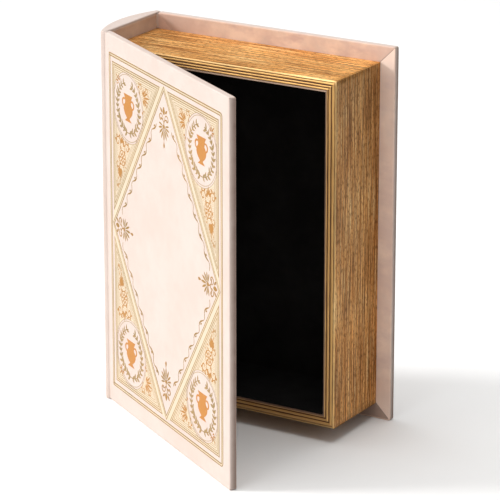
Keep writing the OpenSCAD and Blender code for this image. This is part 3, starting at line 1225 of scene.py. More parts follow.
@dataclass
class Tray:
    """The mitred walls with their reeded rim, the gilt page sheets outside and the lining inside."""

    groove_first: float = 1.5 * MM
    groove_last: float = 6.6 * MM
    groove_last_at_head: float = 7.4 * MM
    groove_half_width: float = 0.48 * MM
    groove_depth: float = 0.62 * MM
    first_groove_share: float = 0.55
    wander: float = 0.09 * MM
    wander_waves: Point2 = (90.0, 0.0)
    uneven_share: float = 0.35
    uneven_waves: Point2 = (160.0, 240.0)
    fibre_depth: float = 0.07 * MM
    fibre_waves: Point2 = (45.0, 1900.0)
    rim_under_page: float = 0.55 * MM
    crease_angle: float = 50.0
    page_lip: float = 1.05 * MM
    page_edge_radius: float = 0.8 * MM
    page_relief: float = 0.15 * MM
    page_waves: Point2 = (11.0, 1300.0)
    section_waves: Point2 = (6.0, 260.0)
    lining_radius: float = 1.6 * MM
    lining_t: float = 0.45 * MM

    def __post_init__(self) -> None:
        """Reads the tray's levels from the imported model."""
        self.low, self.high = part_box("head_wall")
        self.depth = self.high.y - self.low.y
        self.wall_t = self.high.z - self.low.z
        page_low, page_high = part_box("head_page_sheet")
        self.page_t = page_high.z - page_low.z
        self.tail_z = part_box("tail_wall")[0].z

    def sides(self, margin: float) -> list[Side]:
        """Lists the head, fore-edge, tail and spine sides of an outline round the walls.

        Args:
            margin: How far it lies outside them, except at the spine.

        Returns:
            The sides; each starts where the one before it ends.
        """
        x0, x1 = self.low.x, self.high.x + margin
        z0, z1 = self.tail_z - margin, self.high.z + margin
        head, fore_edge, tail, spine = (Vector((x, self.low.y, z)) for x, z in (
            (x0, z1), (x1, z1), (x1, z0), (x0, z0)))
        # Painted light and shade by side: the lit head is brightened, the fore-edge, tail and spine sides are
        # dimmed as shaded, and the head and fore-edge grow darker towards one end.
        return [
            Side("head", head, EX, -EZ, x1 - x0, wear_and_painted_shading=-0.24, fade=0.22, grooves=4),
            Side("fore_edge", fore_edge, -EZ, -EX, z1 - z0, wear_and_painted_shading=0.30, fade=0.36),
            Side("tail", tail, -EX, EZ, x1 - x0, wear_and_painted_shading=0.45),
            Side("spine_side", spine, EZ, EX, z1 - z0, wear_and_painted_shading=0.3),
        ]

    def build(self) -> list[Piece]:
        """Builds every piece of the tray.

        Returns:
            The walls, the page sheets and the lining.
        """
        walls = [fixed(self.wall(side, number), "case", Finish.RIM, side.name + "_wall")
                 for number, side in enumerate(self.sides(0.0), 1)]
        pages = [fixed(self.page_sheet(side, number), "case", Finish.PAGES, side.name + "_page_sheet")
                 for number, side in enumerate(self.sides(self.page_t)[:3], 1)]
        nodes = [name + "_velvet" for name in ("floor", "head", "tail", "fore_edge", "spine_side")]
        return [*walls, *pages, fixed(self.lining(), "case", Finish.VELVET, *nodes)]

    @staticmethod
    def grid(tree: Tree, along_count: int, across_count: int) -> tuple[Socket, Number, Number]:
        """Adds a flat grid.

        Args:
            tree: The tree to fill.
            along_count: Points along.
            across_count: Points across.

        Returns:
            The grid, its share along and its share across.
        """
        grid = tree.geometry("MeshGrid", {
            "Size X": 1.0, "Size Y": 1.0, "Vertices X": tree.value("Points Along", along_count, "Int"),
            "Vertices Y": tree.value("Points Across", across_count, "Int")})
        x, y, _ = tree.separate(tree.geometry("InputPosition", {}))
        kept = tree.add("GeometryNodeCaptureAttribute", {"Geometry": grid}, domain="POINT")
        for number, (name, place) in enumerate((("along", x), ("across", y)), 1):
            kept.capture_items.new("FLOAT", name)
            tree.feed(kept.inputs[number], place + 0.5)
        return kept.outputs[0], Number(tree, kept.outputs[1]), Number(tree, kept.outputs[2])

    @staticmethod
    def run_along(tree: Tree, side: Side, share: Number, inset: Number) -> Number:
        """Returns the distance along a mitred side at a share of it and a distance inside it."""
        return inset + share * (tree.value("Length", side.length) - inset - inset)

    def wall(self, side: Side, seed: int) -> Piece:
        """Builds one mitred wall with grooves along its rim.

        Args:
            side: Where the wall runs.
            seed: Picks the irregularities.

        Returns:
            The wall.
        """
        tree = Tree("reeded_wall")
        flat, share_along, share_across = self.grid(tree, round(side.length / (1.6 * MM)), 49)
        across = share_across * tree.value("Width", self.wall_t)
        along = self.run_along(tree, side, share_along, across)
        seed_value, depth = tree.value("Seed", seed * 3.7), tree.value("Depth", self.depth)
        base = tree.geometry("SetPosition", {
            "Geometry": flat, "Position": tree.combine(along, across, depth * -1.0)})
        pulled = tree.add("GeometryNodeExtrudeMesh", {
            "Mesh": base, "Offset": tree.combine(0.0, 0.0, 1.0), "Offset Scale": depth,
            "Individual": False}, mode="FACES")
        wander = tree.noise_at(along, across, self.wander_waves, seed_value)
        uneven = tree.noise_at(along, across, self.uneven_waves, seed_value)
        fibre = tree.noise_at(along, across, self.fibre_waves, seed_value)
        hollow = self.groove_share(tree, side, across + wander * self.wander)
        sunk = hollow * tree.value("Groove Depth", self.groove_depth) * (uneven * self.uneven_share + 1.0)
        sunk = sunk + abs(fibre) * self.fibre_depth + self.under_page(tree, across)
        raised = tree.geometry("SetPosition", {
            "Geometry": pulled.outputs["Mesh"], "Selection": pulled.outputs["Top"],
            "Offset": tree.combine(0.0, 0.0, sunk * -1.0)})
        joined = tree.joined([raised, tree.geometry("FlipFaces", {"Mesh": base})])
        whole = tree.geometry("MergeByDistance", {"Geometry": joined, "Distance": 0.001 * MM})
        whole = tree.stored(whole, "hollow", hollow)
        # Painted shade for the rims of the shaded sides.
        whole = tree.stored(whole, "wear_and_painted_shading", tree.value("Painted Shading", max(side.wear_and_painted_shading, 0.0) * 1.25))
        whole = tree.stored(whole, "UVMap", tree.combine(along, across, 0.0), "FLOAT2")
        piece = tree.built(side.name + "_reeded_wall", whole, Finish.RIM, side.place())
        piece.data.set_sharp_from_angle(angle=math.radians(self.crease_angle))
        return piece

    def groove_share(self, tree: Tree, side: Side, across: Number) -> Number:
        """Works out how deep the grooves are, from 0 to 1.

        Args:
            tree: The tree to fill.
            side: The side of the tray.
            across: Distance from the wall's outer face.

        Returns:
            The share there.
        """
        reach = (self.groove_last_at_head if side.grooves > 3 else self.groove_last) - self.groove_first
        first = tree.value("First Groove", self.groove_first - self.page_t)
        pitch = tree.value("Groove Pitch", reach / (side.grooves - 1))
        number = tree.math("ROUND", (across - first) / pitch)
        number = tree.clipped(number, 0.0, tree.value("Last Groove", side.grooves - 1.0))
        away = (across - (first + number * pitch)) / tree.value("Groove Half Width", self.groove_half_width)
        share = tree.math("EXPONENT", away * away * -1.0)
        weaker = tree.math("COMPARE", number, 0.0, 0.1) * (1.0 - self.first_groove_share)
        return share * (1.0 - weaker)

    def under_page(self, tree: Tree, across: Number) -> Number:
        """Returns the extra depth of the rim where the page sheet is turned over it."""
        edge = self.page_lip - self.page_t
        return tree.spread(across, edge, edge + 0.12 * MM, 1.0, 0.0) * self.rim_under_page

    def page_sheet(self, side: Side, seed: int) -> Piece:
        """Builds one gilt sheet with the fine ridges of page edges, turned over the rim's edge.

        Args:
            side: Where the sheet runs.
            seed: Picks the ridges.

        Returns:
            The sheet.
        """
        tree = Tree("page_sheet")
        r = self.page_edge_radius
        straight, bend = self.depth - r, r * math.pi / 2
        total = straight + bend + self.page_lip - r
        flat, share_along, share_across = self.grid(
            tree, round(side.length / (4 * MM)), round(total / (0.3 * MM)))
        run = share_across * tree.value("Sheet Width", total)
        level, radius = tree.value("Straight Width", straight), tree.value("Edge Radius", r)
        over = run - level
        angle = tree.clipped(over / radius, 0.0, math.pi / 2)
        cosine, sine = tree.math("COSINE", angle), tree.math("SINE", angle)
        inset = radius * (1.0 - cosine) + tree.math("MAXIMUM", over - bend, 0.0)
        rise = tree.math("MINIMUM", run, level) + radius * sine
        along = self.run_along(tree, side, share_along, inset)
        seed_value = tree.value("Seed", seed * 5.3)
        pages = abs(tree.noise_at(along, run, self.page_waves, seed_value))
        sections = abs(tree.noise_at(along, run, self.section_waves, seed_value))
        relief = pages * 0.6 + sections * 0.7
        sunk = relief * tree.value("Relief", self.page_relief)
        place = tree.combine(along, inset + sunk * cosine, rise - self.depth - sunk * sine)
        sheet = tree.geometry("SetPosition", {"Geometry": flat, "Position": place})
        # Painted light and shade along the side, darker towards one end.
        fade = (0.5 - share_along) * tree.value("Fade", side.fade)
        sheet = tree.stored(sheet, "hollow", relief)
        sheet = tree.stored(sheet, "wear_and_painted_shading", fade + tree.value("Painted Shading", side.wear_and_painted_shading))
        sheet = tree.stored(sheet, "UVMap", tree.combine(along, run, 0.0), "FLOAT2")
        piece = tree.built(side.name + "_page_edges", sheet, Finish.PAGES, side.place())
        turn_towards(piece, -side.inward)
        return thickened(piece, self.page_t * 0.6)

    def lining(self) -> Piece:
        """Builds the velvet lining of the walls and floor as one soft-cornered tub.

        Returns:
            The lining.
        """
        left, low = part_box("spine_side_velvet")[1].x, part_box("tail_velvet")[1].z
        head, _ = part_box("head_velvet")
        plan = RoundedFrame(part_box("fore_edge_velvet")[0].x - left, head.z - low, 1.8 * MM, 5 * MM)
        r = self.lining_radius
        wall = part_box("floor_velvet")[0].y - head.y - r
        rows = [(0.0, wall * step / 12) for step in range(13)]
        rows += [(r - c, wall + s) for s, c in quarter(r, 6)][1:] + [(2.6 * MM, wall + r)]
        flat, faces = plan.shell(rows, -1)
        wave = Undulation(31, 0.07 * MM, 30 * MM).at(flat)
        depth = flat[:, 2] - np.where(flat[:, 2] > wall, wave * 0.5, 0.0)
        laid = np.column_stack([left + flat[:, 0], head.y + depth, low + flat[:, 1]])
        mesh = mesh_of("velvet_lining", laid, faces, inside_out=True)
        return thickened(piece_of("velvet_lining", mesh, Finish.VELVET), self.lining_t)


@dataclass
class HingeCloth:
    """The covering where it bends: at the front of the spine, and at its back."""

    sizes: BookSizes
    dip: float = 4.7 * MM
    dip_power: float = 0.8
    spine_outer: Point2 = (-1.3 * MM, 0.12 * MM)
    spine_core: Point2 = (-0.9 * MM, 2.75 * MM)
    spine_inner: Point2 = (-0.3 * MM, 5.5 * MM)
    cover_outer: Point2 = (0.9 * MM, 0.12 * MM)
    cover_core: float = 1.2 * MM
    cover_inner: Point2 = (0.5 * MM, 0.3 * MM)
    valley: float = 0.35 * MM
    back_valley: float = 0.55 * MM
    back_setback: float = 0.35 * MM
    overlap: float = 1.2 * MM
    end_setback: float = 0.2 * MM
    fold_gap: float = 0.15 * MM
    fold_setback: float = 0.8 * MM
    fold_t: float = 1.4 * MM
    fold_sides: Point2 = (0.25 * MM, 0.7 * MM)
    fold_rise: Point2 = (0.5 * MM, 0.12 * MM)
    fold_valley: float = 0.2 * MM

    def build(self) -> list[Piece]:
        """Builds both joints and the small folds inside the back one."""
        return [self.front_joint(), self.back_joint(), *self.inner_folds()]

    def front_joint(self) -> Piece:
        """Builds the fold that carries the front cover, between the spine and its edge.

        Returns:
            The fold.
        """
        size, pivot = self.sizes, PIVOT.to_2d()

        def on_cover(across: float, depth: float) -> Vector:
            """Returns a place near the cover's hinge edge, where the cover rests."""
            return (OPENED @ Vector((size.cover_x + across, size.front_out_y + depth, 0))).to_2d()

        inner = on_cover(self.cover_inner[0], size.cover_t - self.cover_inner[1])
        outer, core = on_cover(*self.cover_outer), on_cover(self.cover_core, size.cover_t / 2)
        outline = self.bowed(pivot + Vector(self.spine_outer), outer, -self.valley, 12) + [tuple(core)]
        outline += self.dipped(inner, pivot + Vector(self.spine_inner), 14)
        outline += [tuple(pivot + Vector(self.spine_core))]
        piece = swept("hinge_fold", outline, self.end_setback, size.cover_h - self.end_setback,
                      Finish.COVERING, 0.3 * MM, wave=Undulation(41, 0.03 * MM))
        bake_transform(piece)
        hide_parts("hinge_cloth")
        Finish.COVERING.slot
        return piece

    @staticmethod
    def bowed(start: Vector, end: Vector, bow: float, parts: int) -> list[Point2]:
        """Draws a shallow bow from one place to another.

        Args:
            start: First place.
            end: Last place.
            bow: Its height to the right of the way, or below 0 to the left.
            parts: How many parts it has.

        Returns:
            The points, both places included.
        """
        way = end - start
        aside = Vector((way.y, -way.x)).normalized()
        shares = [part / parts for part in range(parts + 1)]
        return [tuple(start + way * s + aside * bow * math.sin(math.pi * s)) for s in shares]

    def dipped(self, start: Vector, end: Vector, parts: int) -> list[Point2]:
        """Draws a line round the hinge from one place to another, nearer to it in the middle.

        Args:
            start: First place.
            end: Last place.
            parts: How many parts it has.

        Returns:
            The points, both places included.
        """
        pivot, points = PIVOT.to_2d(), []
        first, last = start - pivot, end - pivot
        first_angle, last_angle = math.atan2(first.y, first.x), math.atan2(last.y, last.x)
        for s in (part / parts for part in range(parts + 1)):
            angle = first_angle + (last_angle - first_angle) * s
            straight = first.length * (1 - s) + last.length * s
            reach = straight + (self.dip - straight) * math.sin(math.pi * s) ** self.dip_power
            points.append((pivot.x + reach * math.cos(angle), pivot.y + reach * math.sin(angle)))
        return points

    def back_joint(self) -> Piece:
        """Builds the strip that bridges the spine and the back cover, with a shallow valley.

        Returns:
            The strip.
        """
        low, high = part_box("back_joint_cloth")
        x0, x1, out_y = low.x - self.overlap, high.x + self.overlap, self.sizes.back_out_y - self.back_setback
        outline = self.bowed(Vector((x1, out_y)), Vector((x0, out_y)), -self.back_valley, 10)
        outline += [(x0, low.y - 0.3 * MM), (x1, low.y - 0.3 * MM)]
        piece = swept("back_joint_fold", outline, self.end_setback, self.sizes.cover_h - self.end_setback,
                      Finish.COVERING, 0.4 * MM, wave=Undulation(43, 0.03 * MM))
        return fixed(piece, "case", Finish.COVERING, "back_joint_cloth")

    def inner_folds(self) -> list[Piece]:
        """Builds the small folds between the spine and the back cover, above and below the tray.

        Returns:
            Both folds.
        """
        low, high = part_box("back_joint_cloth")
        x0, x1 = low.x - self.fold_sides[0], high.x + self.fold_sides[1]
        y = self.sizes.back_out_y - self.sizes.cover_t
        start, end = Vector((x0, y - self.fold_rise[0])), Vector((x1, y - self.fold_rise[1]))
        section = self.bowed(start, end, -self.fold_valley, 8)
        section += [(x1, y + self.fold_t), (x0, y + self.fold_t)]
        page_top, page_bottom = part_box("head_page_sheet")[1].z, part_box("tail_page_sheet")[0].z
        spans = {"head": (page_top + self.fold_gap, self.sizes.cover_h - self.fold_setback),
                 "tail": (self.fold_setback, page_bottom - self.fold_gap)}
        return [fixed(swept(end + "_inner_fold", section, *span, Finish.COVERING, 0.3 * MM, 2 * MM),
                      "case", Finish.COVERING) for end, span in spans.items()]


@dataclass
class FrontLining:
    """The suede sheet on the inside of the front cover."""

    thickness: float = 0.4 * MM
    corner_radius: float = 0.6 * MM
    edge_radius: float = 0.25 * MM
    spacing: float = 6 * MM
    edge_rows: tuple[float, float] = (3.0 * MM, 1.5 * MM)

    def build(self) -> Piece:
        """Builds the sheet in the closed book and swings it open.

        Returns:
            The sheet.
        """
        low, high = closed_box("front_lining")
        plan = RoundedFrame(high.x - low.x, high.z - low.z, self.corner_radius, self.spacing)
        r = min(self.edge_radius, (high.y - low.y) * 0.6)
        rows = [(inset, 0.0) for inset in self.edge_rows] + [(r - s, r - c) for s, c in quarter(r, 3)]
        flat, faces = plan.shell(rows + [(0.0, high.y - low.y)], 0)
        laid = np.column_stack([low.x + flat[:, 0], np.zeros(len(flat)), low.z + flat[:, 1]])
        wave = Undulation(51, 0.03 * MM, 40 * MM).at(laid)
        laid[:, 1] = high.y - flat[:, 2] - np.where(flat[:, 2] < 0.01 * MM, wave, 0.0)
        piece = piece_of("front_inner_lining", mesh_of("front_inner_lining", laid, faces), Finish.LINING)
        turn_towards(piece, EY)
        thickened(piece, self.thickness * 0.5)
        piece.data.transform(OPENED)
        return fixed(piece, "front_cover", Finish.LINING, "front_lining")


def inset_outline(corners: Sequence[Point2], inset: float) -> list[Point2]:
    """Draws a closed outline in by a distance, with sharp mitres.

    Args:
        corners: Its corners, anticlockwise.
        inset: The distance.

    Returns:
        Corners of the inner outline.
    """
    result = []
    for here, before, after in corner_trios(corners):
        first, second = (here - before).normalized(), (after - here).normalized()
        normal_1, normal_2 = Vector((-first.y, first.x)), Vector((-second.y, second.x))
        aside = (normal_1 + normal_2) / (1 + normal_1.dot(normal_2))
        result.append(tuple(here + aside * inset))
    return result


def turned(points: Iterable[Point2], angle: float, move: Point2 = (0.0, 0.0)) -> list[Point2]:
    """Turns flat points anticlockwise by an angle in degrees, and then moves them."""
    cosine, sine = math.cos(math.radians(angle)), math.sin(math.radians(angle))
    return [(move[0] + x * cosine - y * sine, move[1] + x * sine + y * cosine) for x, y in points]


def leaf(length: float, width: float, fullest: float = 0.42) -> list[Point2]:
    """Draws a pointed leaf that grows along X from the origin.

    Args:
        length: Its length.
        width: Its width where it is fullest.
        fullest: Where that is, as a share of its length.

    Returns:
        Its outline.
    """
    shares = [part / 6 for part in range(1, 6)]
    bulges = [math.sin(math.pi * s ** (math.log(0.5) / math.log(fullest))) ** 0.9 for s in shares]
    side = [(length * share, width / 2 * bulge) for share, bulge in zip(shares, bulges)]
    return [(0.0, 0.0), *side, (length, 0.0), *[(x, -y) for x, y in reversed(side)]]


def spiral(centre: Point2, radius: float, start: float, sweep: float, shrink: float = 0.2,
           parts: int = 22) -> list[Point2]:
    """Draws a line that winds in towards a centre.

    Args:
        centre: The centre.
        radius: Distance of its outer end.
        start: Direction of that end, in degrees.
        sweep: How far it turns, in degrees.
        shrink: Share of the radius at the inner end.
        parts: How many parts it has.

    Returns:
        The points, from the outer end inwards.
    """
    points = []
    for share in (part / parts for part in range(parts + 1)):
        angle = math.radians(start + sweep * share)
        reach = radius * (1 - (1 - shrink) * share)
        points.append((centre[0] + reach * math.cos(angle), centre[1] + reach * math.sin(angle)))
    return points


def arc(centre: Point2, radius: float, start: float, end: float, parts: int) -> list[Point2]:
    """Returns points of an arc between two angles in degrees."""
    return spiral(centre, radius, start, end - start, 1.0, parts)


def runs(line: Sequence[Point2], kept: Callable[[Point2], bool]) -> list[list[Point2]]:
    """Cuts a line into the runs whose points pass a test.

    Args:
        line: Points along the line.
        kept: The test.

    Returns:
        The runs of three points or more.
    """
    found: list[list[Point2]] = [[]]
    for point in line:
        if kept(point):
            found[-1].append(point)
        elif found[-1]:
            found.append([])
    return [run for run in found if len(run) > 2]


@dataclass
class Stamp:
    """Flat foil shapes, drawn round the middle of the cover's frame with Y upwards."""

    thickness: float = 0.22 * MM
    base_level: float = 0.0
    kept: Callable[[Point2], bool] | None = None
    points: list[Triple] = field(default_factory=list)
    faces: Faces = field(default_factory=list)
    shapes: int = 0

    def next_level(self) -> float:
        """Returns the height of the next shape, so that shapes that cross don't share a plane."""
        self.shapes += 1
        return self.base_level + self.shapes % 12 * 0.001 * MM

    def shape(self, outline: Sequence[Point2]) -> None:
        """Adds a filled shape, unless part of it lies where the stamp keeps nothing.

        Args:
            outline: Points round the shape.
        """
        if self.kept and not all(map(self.kept, outline)):
            return
        first, count, level = len(self.points), len(outline), self.next_level()
        self.points += [(x, y, height) for height in (level, -self.thickness) for x, y in outline]
        self.faces += [tuple(range(first, first + count)), tuple(range(first + count, first + 2 * count))]
        self.faces += ring_faces(2, count, first)

    def stroke(self, line: Sequence[Point2], width: float, tip: float = 1.0, closed: bool = False) -> None:
        """Adds a line of foil, or the longest run of it that the stamp keeps.

        Args:
            line: Points along its middle.
            width: Its width at the widest part.
            tip: The share of that at both ends.
            closed: Whether the last point joins the first.
        """
        if self.kept:
            line = max(runs(line, self.kept), key=len, default=[])
        if not line:
            return
        first, count, level = len(self.points), len(line), self.next_level()
        for number, (x, y) in enumerate(line):
            before = line[number - 1] if closed or number else line[0]
            after = line[(number + 1) % count] if closed or number < count - 1 else line[-1]
            way = (Vector(after) - Vector(before)).normalized()
            share = 1.0 if closed else tip + (1 - tip) * math.sin(math.pi * number / (count - 1))
            aside = Vector((-way.y, way.x)) * width * share / 2
            left, right = Vector((x, y)) + aside, Vector((x, y)) - aside
            self.points += [(*left, level), (*right, level)]
            self.points += [(*right, -self.thickness), (*left, -self.thickness)]
        self.faces += ring_faces(count, 4, first, looped=closed)
        if not closed:
            last = first + 4 * (count - 1)
            self.faces += [tuple(range(first, first + 4)), tuple(range(last, last + 4))]

    def band(self, corners: Sequence[Point2], outer: float, inner: float) -> None:
        """Adds a line that follows a closed outline between two insets.

        Args:
            corners: Corners of the outline, anticlockwise.
            outer: Inset of the line's outer edge.
            inner: Inset of its inner edge.
        """
        self.faces += ring_faces(4, len(corners), len(self.points), looped=True)
        for inset, level in ((outer, 0.0), (inner, 0.0), (inner, -self.thickness), (outer, -self.thickness)):
            self.points += [(x, y, level) for x, y in inset_outline(corners, inset)]

    def spray(self, base: Point2, direction: float, length: float, spread: float, count: int,
              width: float) -> None:
        """Adds leaves that fan out from a point, the longest in the middle.

        Args:
            base: The point.
            direction: Direction of the middle leaf, in degrees.
            length: Its length.
            spread: Angle between the outer leaves.
            count: Number of leaves.
            width: Width of a leaf as a share of that length.
        """
        for number in range(count):
            place = number / (count - 1) * 2 - 1
            size, bare = length * (1 - 0.45 * abs(place)), length * 0.16
            angle = direction + place * spread / 2
            start = turned([(bare, 0.0)], angle, base)[0]
            self.shape(turned(leaf(size - bare, length * width), angle, start))

    def scroll(self, centre: Point2, radius: float, start: float, sweep: float, leaves: int = 4) -> None:
        """Adds a winding stem with leaves along its outer side.

        Args:
            centre: Where it winds to.
            radius: Distance of its outer end.
            start: Direction of that end, in degrees.
            sweep: How far it turns, in degrees.
            leaves: Number of leaves.
        """
        parts = 24
        stem = spiral(centre, radius, start, sweep, 0.22, parts)
        self.stroke(stem, 0.24 * radius, 0.5)
        for number in range(leaves):
            share = number / leaves * 0.6
            lean = start + sweep * share - math.copysign(34.0, sweep)
            blade = leaf(radius * (0.95 - share * 0.6), radius * 0.42, 0.5)
            self.shape(turned(blade, lean, stem[round(share * parts)]))

    def mirrored(self) -> "Stamp":
        """Repeats everything in all four quarters of the frame.

        Returns:
            The same stamp.
        """
        points, faces = list(self.points), list(self.faces)
        for flip_x, flip_y in ((-1, 1), (1, -1), (-1, -1)):
            first = len(self.points)
            self.points += [(x * flip_x, y * flip_y, z) for x, y, z in points]
            self.faces += [tuple(first + number for number in face) for face in faces]
        return self

    def mesh(self, name: str) -> Mesh:
        """Returns the shapes as one mesh."""
        return mesh_of(name, self.points, self.faces)


@dataclass(frozen=True)
class Urn:
    """A plain two-handled urn."""

    height: float = 19.0 * MM
    body_w: float = 14.5 * MM
    foot_w: float = 10.5 * MM
    neck_w: float = 9.5 * MM
    lip_w: float = 14.0 * MM
    waist_w: float = 3.2 * MM
    parts: int = 24
    handle_at: Point2 = (6.4 * MM, 3.2 * MM)
    handle_radius: float = 2.7 * MM
    handle_w: float = 1.5 * MM

    def width(self, share: float) -> float:
        """Works out how wide the urn is at a height.

        Args:
            share: The height as a share of the whole, from the foot.

        Returns:
            The width.
        """
        body = self.body_w * math.sin(math.pi * min(1.0, max(0.0, (share - 0.1) / 0.68)) ** 1.05) ** 0.65
        foot = self.foot_w * max(0.0, 1 - share / 0.2)
        lip = self.neck_w + (self.lip_w - self.neck_w) * max(0.0, (share - 0.78) / 0.22) ** 1.5
        return max(body, foot, self.waist_w, lip if share > 0.66 else 0.0)

    def draw(self, stamp: Stamp, centre: Point2) -> None:
        """Draws the urn and its handles.

        Args:
            stamp: The stamp to draw in.
            centre: Middle of the urn.
        """
        x, y = centre
        shares = [part / self.parts for part in range(self.parts + 1)]
        right = [(x + self.width(share) / 2, y + self.height * (share - 0.5)) for share in shares]
        stamp.shape(right + [(2 * x - right_x, right_y) for right_x, right_y in reversed(right)])
        for side in (-1, 1):
            spot = (x + side * self.handle_at[0], y + self.handle_at[1])
            bend = arc(spot, self.handle_radius, 90 + side * 30, 90 - side * 175, 14)
            stamp.stroke(bend, self.handle_w, 0.8)


@dataclass
class Stamping:
    """The gold design on the front cover: rules, wreaths with urns, palmettes, scrolls and scallops."""

    rule_w: float = 2.4 * MM
    panel_rule_w: float = 2.2 * MM
    panel_inset: float = 5.5 * MM
    panel_gap: float = 3.7 * MM
    lozenge_reach: float = 3.4 * MM
    line_share: float = 0.28
    rounding: tuple[float, float] = (1.0 * MM, 3.0 * MM)
    proud: float = 0.03 * MM
    ground_t: float = 0.2 * MM
    ground_drop: float = 0.02 * MM
    hairline: float = 0.42 * MM
    hair_insets: Triple = (3.3 * MM, 4.9 * MM, 6.3 * MM)
    wreath_side: float = 31.0 * MM
    wreath_end: float = 33.0 * MM
    leaf_ring: float = 17.6 * MM
    arc_rings: tuple[float, float] = (23.4 * MM, 25.0 * MM)
    laurel_leaf: Point2 = (4.6 * MM, 1.9 * MM)
    laurel_count: int = 13
    laurel_angles: Triple = (7.0, 160.0, 46.0)
    stem_w: float = 0.55 * MM
    palmette_leaf: Point2 = (8.6 * MM, 1.7 * MM)
    palmette_count: int = 9
    palmette_hub: float = 1.6 * MM
    palmette_insets: tuple[float, float] = (22.0 * MM, 31.5 * MM)
    palmette_line: float = 0.85 * MM
    scallop_count: int = 7
    scallop_pitch: float = 14.0 * MM
    scallop_reach: float = 7.6 * MM
    rosette: tuple[float, float] = (20.8 * MM, 71.0 * MM)
    rosette_clear: float = 6.2 * MM
    dot_pitch: float = 1.3 * MM
    dot_size: float = 0.60 * MM
    dot_t: float = 0.12 * MM
    pieces: list[Piece] = field(default_factory=list)

    def __post_init__(self) -> None:
        """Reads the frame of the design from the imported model."""
        low, high = closed_box("gilt_border")
        self.half_w, self.half_h = (high.x - low.x) / 2, (high.z - low.z) / 2
        out_y = closed_box("front_wrap")[0].y - self.proud
        origin = Vector(((high.x + low.x) / 2, out_y, (high.z + low.z) / 2))
        self.place = OPENED @ axes_at(origin, EX, EZ, -EY)
        self.wreath_at = (self.half_w - self.wreath_side, self.half_h - self.wreath_end)
        self.rosette_at = (self.half_w - self.rosette[0], self.half_h - self.rosette[1])
        self.side = Vector((self.half_w - self.lozenge_reach, self.half_h - self.lozenge_reach))
        self.inner_panel = [Vector(c) for c in inset_outline(self.panel(), self.hair_insets[0])]

    def frame_corners(self) -> list[Point2]:
        """Returns the frame's corners, anticlockwise from the lower left."""
        w, h = self.half_w, self.half_h
        return [(-w, -h), (w, -h), (w, h), (-w, h)]

    def lozenge(self) -> list[Point2]:
        """Returns the lozenge's outer points, anticlockwise from the right."""
        return [(self.side.x, 0.0), (0.0, self.side.y), (-self.side.x, 0.0), (0.0, -self.side.y)]

    def clear_of_lozenge(self, gap: float) -> float:
        """Returns the sum of x and y, as shares of the lozenge's reach, at a gap outside its side."""
        return 1 + gap * math.hypot(1 / self.side.x, 1 / self.side.y)

    def panel(self) -> list[Point2]:
        """Draws the corner panel at the upper right.

        Returns:
            Its three corners, anticlockwise from the frame's corner.
        """
        x, y = self.half_w - self.panel_inset, self.half_h - self.panel_inset
        (a, b), reach = self.side, self.clear_of_lozenge(self.panel_gap)
        return [(x, y), (a * (reach - y / b), y), (x, b * (reach - x / a))]

    def fix(self, piece: Piece, *nodes: str, **marks: float) -> None:
        """Fixes a piece to the front cover in place of nodes, with numbers that its finish reads."""
        marked(piece.data, **marks)
        self.pieces.append(fixed(piece, "front_cover", Finish.FOIL, *nodes))

    def add(self, name: str, stamp: Stamp, *nodes: str, warm: float = 0.0, thin: float = 0.0) -> None:
        """Makes a piece of a stamp and fixes it to the front cover.

        Args:
            name: Name of the piece.
            stamp: The shapes.
            nodes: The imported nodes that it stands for.
            warm: How much redder the foil is, from 0 to 1.
            thin: How far the covering shows through, from 0 to 1.
        """
        piece = piece_of(name, stamp.mesh(name), Finish.FOIL, smooth=False)
        piece.data.transform(self.place)
        self.fix(piece, *nodes, warm=warm, thin=thin)

    def repeated(self, tree: Tree, name: str, geometry: Socket, motif: Stamp) -> Piece:
        """Runs a tree that repeats a motif and lays the result on the cover."""
        return tree.built(name, geometry, Finish.FOIL, self.place, False, motif.mesh(name + "_motif"))

    def build(self) -> list[Piece]:
        """Builds the whole design.

        Returns:
            Its pieces.
        """
        self.rules()
        self.wreaths()
        self.urns()
        self.palmettes()
        self.scallops()
        self.corner_fillings()
        self.stippled_ground()
        return self.pieces

    def double_line(self, stamp: Stamp, ground: Stamp, corners: Sequence[Point2], width: float) -> None:
        """Adds a rule of two lines that follow an outline, with thin foil between them.

        Args:
            stamp: Takes the lines.
            ground: Takes the thin foil.
            corners: The outline, anticlockwise.
            width: Width of the rule.
        """
        line = width * self.line_share
        stamp.band(corners, 0.0, line)
        ground.band(corners, line, width * (1 - self.line_share))
        stamp.band(corners, width * (1 - self.line_share), width)

    def rules(self) -> None:
        """Draws the outer rule, the lozenge and the outlines of the corner panels."""
        near, far = self.rounding
        outer, lozenge, panels, ground, panel_ground = Stamp(), Stamp(), Stamp(), Stamp(), Stamp()
        corners = rounded_section(self.frame_corners(), [near, far, far, near], 300 * MM)
        self.double_line(outer, ground, corners, self.rule_w)
        self.double_line(lozenge, ground, self.lozenge(), self.panel_rule_w)
        self.double_line(panels, panel_ground, self.panel(), self.panel_rule_w)
        hair = self.hair_insets[0]
        panels.band(self.panel(), hair - self.hairline / 2, hair + self.hairline / 2)
        self.add("outer_rule", outer, "gilt_border")
        self.add("lozenge_rule", lozenge, "gilt_lozenge")
        self.add("rule_grounds", ground, thin=0.85)
        self.add("corner_panel_rule_grounds", panel_ground.mirrored(), thin=0.85)
        self.corner_grounds()
        self.add("corner_panel_rules", panels.mirrored(), "gilt_corner_panels")

    def corner_grounds(self) -> None:
        """Lays thin foil in the corner panels, outside the wreaths, and along the lozenge."""
        ground = Stamp(self.ground_t, -self.ground_drop)
        for outline in self.round_wreath(inset_outline(self.panel(), self.panel_rule_w)):
            ground.shape(outline)
        _, near_head, near_side = self.panel()
        ground.shape([(self.side.x, 0.0), near_side, near_head, (0.0, self.side.y)])
        self.add("corner_panel_grounds", ground.mirrored(), thin=1.0)

